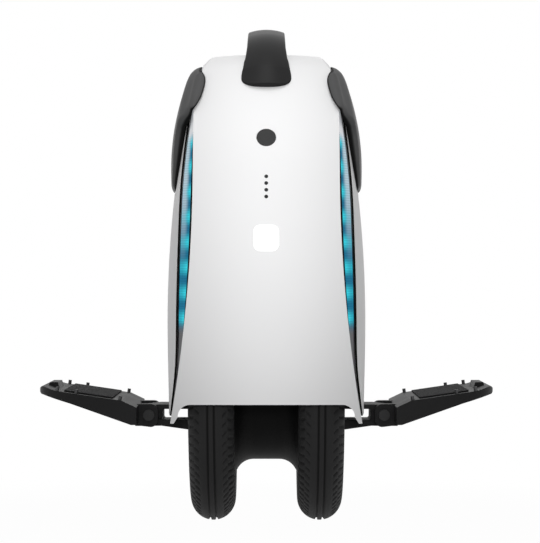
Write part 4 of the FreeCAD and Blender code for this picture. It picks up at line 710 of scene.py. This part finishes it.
# a plug square to the panel at a height: an outline of sideways places and climbs, drawn through the wall
def facePlug(name, end, height, outline):
    body = bodyForm
    rise = (height - body["frontMiddle"]) / body["frontRadius"]
    run = math.sqrt(1 - rise ** 2)
    middle = np.array([0, body["frontReach"] - body["frontRadius"] + body["frontRadius"] * run, height])
    climb = np.array([0, -rise, run])
    through = panelForm["plugReach"] * np.array([0, run, rise])
    face = middle + outline[:, :1] * np.array([1.0, 0, 0]) + outline[:, 1:] * climb
    points = np.stack([face - through, face + through]) * np.array([1, -1 if end == "front" else 1, 1])
    return gridPiece(name, points, materials["white_gloss"], caps=True)


def circleLine(radius, middle=0.0, count=64):
    turn = np.linspace(0, 2 * math.pi, count, endpoint=False)
    return np.stack([middle + radius * np.cos(turn), radius * np.sin(turn)], -1)


def roundedLine(width, height, corner, count=13):
    turn = np.linspace(0, math.pi / 2, count)
    corners = ((0, 1, 1), (math.pi / 2, -1, 1), (math.pi, -1, -1), (3 * math.pi / 2, 1, -1))
    arcs = [np.stack([corner * np.cos(turn + start), corner * np.sin(turn + start)], -1)
            + np.array([right * (width / 2 - corner), up * (height / 2 - corner)])
            for start, right, up in corners]
    return np.concatenate(arcs)


# the arch over the wheel: rounded upper corners, and sides that lean out to the panel's two feet
def apronPlug(end):
    form = panelForm
    turn = np.linspace(0, math.pi / 2, form["apronSteps"])
    middle = np.array([form["apronHalf"] - form["apronCorner"], form["apron"] - form["apronCorner"]])
    corner = np.stack([np.cos(turn), np.sin(turn)], -1) * form["apronCorner"] + middle
    drop = corner[0, 1] - form["foot"]
    slope = (form["footInner"] - form["apronHalf"]) / drop
    below = np.array([[corner[0, 0] + 2 * slope * drop, corner[0, 1] - 2 * drop]])
    half = np.concatenate([below, corner])
    opening = np.concatenate([half, half[::-1] * np.array([-1, 1])])
    near, far = form["apronDepths"]
    depths = (-far, -near) if end == "front" else (near, far)
    prism = np.stack([np.stack([opening[:, 0], np.full(len(opening), depth), opening[:, 1]], -1)
                      for depth in depths])
    return gridPiece("apronPlug", prism, materials["white_gloss"], caps=True)


def panelCutters(end):
    form = panelForm
    height, aside, radius = form["screws"]
    plugs = [facePlug("screwPlug", end, height, circleLine(radius, sign * aside)) for sign in (-1, 1)]
    if end == "front":
        top, pitch, count, radius = form["dots"]
        plugs.append(facePlug("buttonPlug", end, form["button"][0], circleLine(form["button"][1])))
        plugs.append(facePlug("lensPlug", end, form["headlight"][0], roundedLine(*form["headlight"][1:])))
        dot = circleLine(radius, count=form["dotSteps"])
        plugs += [facePlug("dotPlug", end, top - number * pitch, dot) for number in range(count)]
    else:
        plugs.append(facePlug("tailPlug", end, form["tail"][0], roundedLine(*form["tail"][1:])))
        plugs.append(facePlug("portPlug", end, form["port"][0], circleLine(form["port"][1])))
    plugs.append(apronPlug(end))
    return plugs


def cutAway(piece, plugs, sharpAngle=35.0):
    for plug in plugs:
        hole = piece.modifiers.new(plug.name, "BOOLEAN")
        hole.operation = "DIFFERENCE"
        hole.solver = "EXACT"
        hole.object = plug
    bpy.context.view_layer.update()
    left = bpy.data.meshes.new_from_object(piece.evaluated_get(bpy.context.evaluated_depsgraph_get()))
    piece.modifiers.clear()
    piece.data = left
    for plug in plugs:
        bpy.data.objects.remove(plug)
    left.set_sharp_from_angle(angle=math.radians(sharpAngle))


def roundEdges(piece, radius, segments=2, angle=40.0):
    edge = piece.modifiers.new("edge", "BEVEL")
    edge.width = radius * mm
    edge.segments = segments
    edge.limit_method = "ANGLE"
    edge.angle_limit = math.radians(angle)
    edge.use_clamp_overlap = True


for end in ("front", "rear"):
    skin = panelSkin(end)
    cutAway(skin, panelCutters(end))
    roundEdges(skin, panelForm["edge"])
    dress(skin, "chassis", end + "_panel")
print("panels made")

# carry handle: an arch over the hand gap with a crowned back, wider and rounder towards its two toes
handleForm = dict(axle=174.0, crown=314.0, crownReach=70.0, shoulderBend=119.4, legHeight=443.0,
                  legStand=10.0, toeHeight=425.2, toeStand=7.2, toeLength=12.0, toePower=2.7, toeTip=0.9995,
                  edge=1.5, edgeShare=0.45, endDrop=0.8, depth=32.0, under=466.0, gripReach=55.0,
                  gripEndReach=84.0, gripEndDrop=18.0, kneeRun=16.0, kneeDrop=3.5, seat=0.35,
                  seatRise=440.0, cutHalf=60.0, cutLow=300.0, gapLow=400.0, belowDeck=1e-6, edgeRound=0.5,
                  crownSteps=30, bendSteps=40, toeSteps=40, acrossSteps=41, faceSteps=120, gripSteps=41,
                  kneeSteps=14,
                  baseShares=(1, 0.5, 0, -0.5, -1),
                  heights=(423, 434, 437, 446.5, 451.5, 455, 467, 480, 488),
                  halves=(24, 24, 23.9, 22.2, 21.4, 20.2, 18.6, 18.0, 17.9),
                  roundHeights=(423, 440, 456, 470, 488), rounds=(62, 52, 50, 54, 54))


# outer line of the arch in the middle plane, from the crown to one toe, as a circle, an arc and a straight
def handleLine():
    form = handleForm
    along = np.linspace(0, form["crownReach"], form["crownSteps"])
    crown = np.stack([along, form["axle"] + np.sqrt(form["crown"] ** 2 - along ** 2)], -1)
    leg = np.array([frontReachAt(form["legHeight"]) + form["legStand"], form["legHeight"]])
    toe = np.array([frontReachAt(form["toeHeight"]) + form["toeStand"], form["toeHeight"]])
    chord = leg - crown[-1]
    length = np.linalg.norm(chord)
    side = np.array([chord[1], -chord[0]]) / length
    middle = (leg + crown[-1]) / 2 + side * math.sqrt(form["shoulderBend"] ** 2 - length ** 2 / 4)
    first, last = (math.atan2(*(point - middle)[::-1]) for point in (crown[-1], leg))
    turn = np.linspace(first, last, form["bendSteps"])[1:]
    arc = middle + form["shoulderBend"] * np.stack([np.cos(turn), np.sin(turn)], -1)
    ease = np.sin(np.linspace(0, math.pi / 2, form["toeSteps"]))[1:, None]
    return np.concatenate([crown, arc, leg + (toe - leg) * ease])


# each section drops from the line by a circle across, and by quarter rounds at its edges and the toes' ends;
# a toe's half width is a superellipse in the length left to its end
def handleLoft():
    form = handleForm
    line = handleLine()
    line = np.concatenate([line[:0:-1] * np.array([-1, 1]), line])
    ahead = unit(np.gradient(line, axis=0))
    out = np.stack([-ahead[:, 1], ahead[:, 0]], -1)
    height = line[:, 1]
    travel = lengthAlong(line)
    left = np.minimum(travel, travel[-1] - travel)
    share = np.clip(1 - left / form["toeLength"], 0, form["toeTip"])
    toe = (1 - share ** form["toePower"]) ** (1 / form["toePower"])
    half = (np.interp(height, form["heights"], form["halves"]) * toe)[:, None]
    bend = np.interp(height, form["roundHeights"], form["rounds"])[:, None]
    edge = np.minimum(form["edge"], form["edgeShare"] * half)
    x = half * np.sin(np.linspace(-math.pi / 2, math.pi / 2, form["acrossSteps"]))[None, :]
    over = np.clip((np.abs(x) - (half - edge)) / edge, 0, 1)
    drop = bend - np.sqrt(bend ** 2 - x ** 2) + edge * (1 - np.sqrt(1 - over ** 2))
    end = np.clip(1 - left / form["edge"], 0, 1)
    drop = drop + (form["edge"] * form["endDrop"] * (1 - np.sqrt(1 - end ** 2)))[:, None]
    base = half * np.array([form["baseShares"]])
    x = np.concatenate([x, base], 1)
    drop = np.concatenate([drop, np.full(base.shape, form["depth"])], 1)
    points = np.stack([x, line[:, :1] - out[:, :1] * drop, line[:, 1:] - out[:, 1:] * drop], -1)
    return gridPiece("handleArch", points, materials["black_satin"], caps=True)


def sidePlug(name, outline):
    half = handleForm["cutHalf"]
    points = np.stack([np.column_stack([np.full(len(outline), x), outline]) for x in (-half, half)])
    return gridPiece(name, points, materials["black_satin"], caps=True)


# what the handle leaves free: the body with its gap, and the hand gap under the grip
def handleCutters():
    form = handleForm
    flip = np.array([-1, 1])
    heights = np.linspace(form["cutLow"], bodyForm["deck"] - form["belowDeck"], form["faceSteps"])
    lifted = heights + form["seat"] * (heights > form["seatRise"])
    face = np.column_stack([frontReachAt(heights, -form["seat"]), lifted])
    body = np.concatenate([face * flip, face[::-1]])
    along = np.linspace(-form["gripReach"], form["gripReach"], form["gripSteps"])
    under = np.column_stack([along, form["under"] - form["crown"] + np.sqrt(form["crown"] ** 2 - along ** 2)])
    bend = np.linspace(0, 1, form["kneeSteps"])[1:, None]
    tip = np.array([[form["gripEndReach"], form["under"] - form["gripEndDrop"]]])
    knee = np.array([[form["gripReach"] + form["kneeRun"], under[-1, 1] - form["kneeDrop"]]])
    right = (1 - bend) ** 2 * under[-1:] + 2 * bend * (1 - bend) * knee + bend ** 2 * tip
    foot = np.array([[form["gripEndReach"], form["gapLow"]], [-form["gripEndReach"], form["gapLow"]]])
    gap = np.concatenate([(right * flip)[::-1], under, right, foot])
    return [sidePlug("bodyPlug", body), sidePlug("gapPlug", gap)]


handle = handleLoft()
cutAway(handle, handleCutters())
roundEdges(handle, handleForm["edgeRound"])
dress(handle, "chassis", "carry_handle")
print("handle made")

# copies of solids, their points welded where they are closer than this, in millimetres
weldGap = 0.02


def weldedCopy(node):
    mesh = nodes[node].data.copy()
    work = bmesh.new()
    work.from_mesh(mesh)
    bmesh.ops.remove_doubles(work, verts=work.verts, dist=weldGap * mm)
    work.to_mesh(mesh)
    work.free()
    return mesh


# edge trims end under the pads, at this height, so that only the white edge shows at the shoulder
trimEnd = 440.0


def shortTrim(side):
    mesh = weldedCopy(side + "_edge_trim")
    work = bmesh.new()
    work.from_mesh(mesh)
    bmesh.ops.bisect_plane(work, geom=work.verts[:] + work.edges[:] + work.faces[:],
                           plane_co=(0, 0, trimEnd * mm), plane_no=(0, 0, 1), clear_outer=True)
    bmesh.ops.holes_fill(work, edges=[edge for edge in work.edges if edge.is_boundary])
    bmesh.ops.recalc_face_normals(work, faces=work.faces)
    work.to_mesh(mesh)
    work.free()
    return placed(side + "Trim", mesh)


for side in ("right", "left"):
    dress(shortTrim(side), "chassis", side + "_edge_trim")
print("trims made")

# solids with sharp edges, shown as copies whose edges are rounded: node, body and edge radius in millimetres
softEdges = [("hand_well", "chassis", 0.7), ("power_button", "button", 0.5),
             ("headlight_lens", "chassis", 0.3), ("tail_light_lens", "chassis", 0.3),
             ("right_pedal", "right_pedal", 2.4), ("left_pedal", "left_pedal", 2.4),
             ("right_pedal_hanger", "chassis", 0.8), ("left_pedal_hanger", "chassis", 0.8),
             ("right_pedal_grip", "right_pedal", 0.5), ("left_pedal_grip", "left_pedal", 0.5),
             ("right_pedal_studs", "right_pedal", 0.4), ("left_pedal_studs", "left_pedal", 0.4),
             ("hinge_pins", "chassis", 0.5), ("charge_port", "chassis", 0.4), ("charge_cap", "cap", 0.5)]


def roundedCopy(node, radius):
    mesh = weldedCopy(node)
    shadeSmooth(mesh)
    piece = placed("rounded" + "".join(word.capitalize() for word in node.split("_")), mesh)
    roundEdges(piece, radius, segments=3, angle=35.0)
    shade = piece.modifiers.new("shade", "WEIGHTED_NORMAL")
    shade.weight = 100
    return piece


for node, body, radius in softEdges:
    dress(roundedCopy(node, radius), body, node)
print("rounded copies made")

# floor, backdrop and lights, in metres and watts
stageLooks = dict(floorHalf=6.0, floorColour=(0.2, 0.2, 0.2), floorRough=0.9, nearWhite=0.98,
                  whiteFade=(0.25, 0.6), worldLevel=0.45, lampAim=(0, 0, 0.3))
softboxes = {"topBox": dict(place=(0.0, -0.75, 1.9), size=(0.5, 1.3), power=9.0),
             "leftBox": dict(place=(-1.6, -0.5, 0.9), size=(0.8, 1.4), power=1.6),
             "rightBox": dict(place=(1.6, -0.5, 0.9), size=(0.8, 1.4), power=1.6),
             "backBox": dict(place=(0.0, 2.2, 1.0), size=(1.6, 1.2), power=24.0, mirrored=False)}
frontSpot = dict(place=(0.0, -2.6, 0.5), aim=(0, -0.2, 0.23), spread=20.0, narrow=0.32, radius=0.1,
                 power=152.0)


# white to the eye and in mirrors, a little less under the wheel, and grey to all other light
def stageFloor():
    looks = stageLooks
    far = looks["floorHalf"]
    mesh = bpy.data.meshes.new("floor")
    mesh.from_pydata([(-far, -far, 0), (far, -far, 0), (far, far, 0), (-far, far, 0)], [], [(0, 1, 2, 3)])
    finish = Finish("floorPaper")
    seen, glossy, through = (finish.add("ShaderNodeLightPath", output="Is %s Ray" % kind)
                             for kind in ("Camera", "Glossy", "Transmission"))
    away = finish.add("ShaderNodeVectorMath", {"operation": "LENGTH"}, {0: finish.place()}, "Value")
    white = finish.add("ShaderNodeEmission", None, {"Color": colour(1, 1, 1), "Strength": 1.0})
    finish.put(Base_Color=colour(*looks["floorColour"]), Roughness=looks["floorRough"])
    level = looks["nearWhite"] + (1 - looks["nearWhite"]) * finish.between(away, *looks["whiteFade"])
    mixed = finish.add("ShaderNodeMixShader", None, {0: seen.larger(glossy).larger(through) * level,
                                                     1: Link(finish, finish.shader.outputs[0]), 2: white})
    finish.tree.links.new(mixed.socket, finish.tree.nodes["Material Output"].inputs["Surface"])
    mesh.materials.append(finish.material)
    placed("floor", mesh)


def studioWorld():
    world = bpy.data.worlds.new("studio")
    bpy.context.scene.world = world
    world.use_nodes = True
    tree = world.node_tree
    back = tree.nodes["Background"]
    path = tree.nodes.new("ShaderNodeLightPath")
    share = path.outputs["Is Camera Ray"]
    for other in ("Is Glossy Ray", "Is Transmission Ray"):
        larger = tree.nodes.new("ShaderNodeMath")
        larger.operation = "MAXIMUM"
        tree.links.new(share, larger.inputs[0])
        tree.links.new(path.outputs[other], larger.inputs[1])
        share = larger.outputs[0]
    level = tree.nodes.new("ShaderNodeMix")
    level.inputs[2].default_value = stageLooks["worldLevel"]
    level.inputs[3].default_value = 1.0
    tree.links.new(share, level.inputs[0])
    tree.links.new(level.outputs[0], back.inputs["Strength"])
    back.inputs["Color"].default_value = colour(1, 1, 1)


# a lamp turned towards a point, and made narrower sideways where its cone isn't round
def aimed(name, light, place, aim, narrow=1.0):
    lamp = placed(name, light)
    away = unit(np.array(place) - np.array(aim))
    right = unit(np.cross((0, 0, 1), away))
    turned = np.eye(4)
    turned[:3] = np.stack([right * narrow, np.cross(away, right), away, place], -1)
    lamp.matrix_world = Matrix(turned.tolist())
    return lamp


# a lamp with a soft edge, so that the panel's middle is lit a little more than its sides
def softSpot(name, looks):
    light = bpy.data.lights.new(name, "SPOT")
    light.spot_size = math.radians(looks["spread"])
    light.spot_blend = 1.0
    light.shadow_soft_size = looks["radius"]
    light.energy = looks["power"]
    aimed(name, light, looks["place"], looks["aim"], looks["narrow"]).visible_glossy = False


def softbox(name, looks):
    light = bpy.data.lights.new(name, "AREA")
    light.shape = "RECTANGLE"
    light.size, light.size_y = looks["size"]
    light.energy = looks["power"]
    aimed(name, light, looks["place"], stageLooks["lampAim"]).visible_glossy = looks.get("mirrored", True)


stageFloor()
studioWorld()
for name, looks in softboxes.items():
    softbox(name, looks)
softSpot("frontSpot", frontSpot)
print("stage set")

# camera square to the front: one millimetre in the axle's plane is one pixel
view = dict(distance=2.7, side=0.0035, height=0.2475, pixels=543, sensor=36.0, clipEnd=30.0)
lens = bpy.data.cameras.new("front")
lens.sensor_width = view["sensor"]
lens.lens = view["sensor"] * view["distance"] / (view["pixels"] * mm)
lens.clip_end = view["clipEnd"]
camera = placed("front", lens)
camera.location = (view["side"], -view["distance"], view["height"])
camera.rotation_euler = (math.pi / 2, 0, 0)
bpy.context.scene.camera = camera
bpy.context.scene.view_settings.view_transform = "Standard"
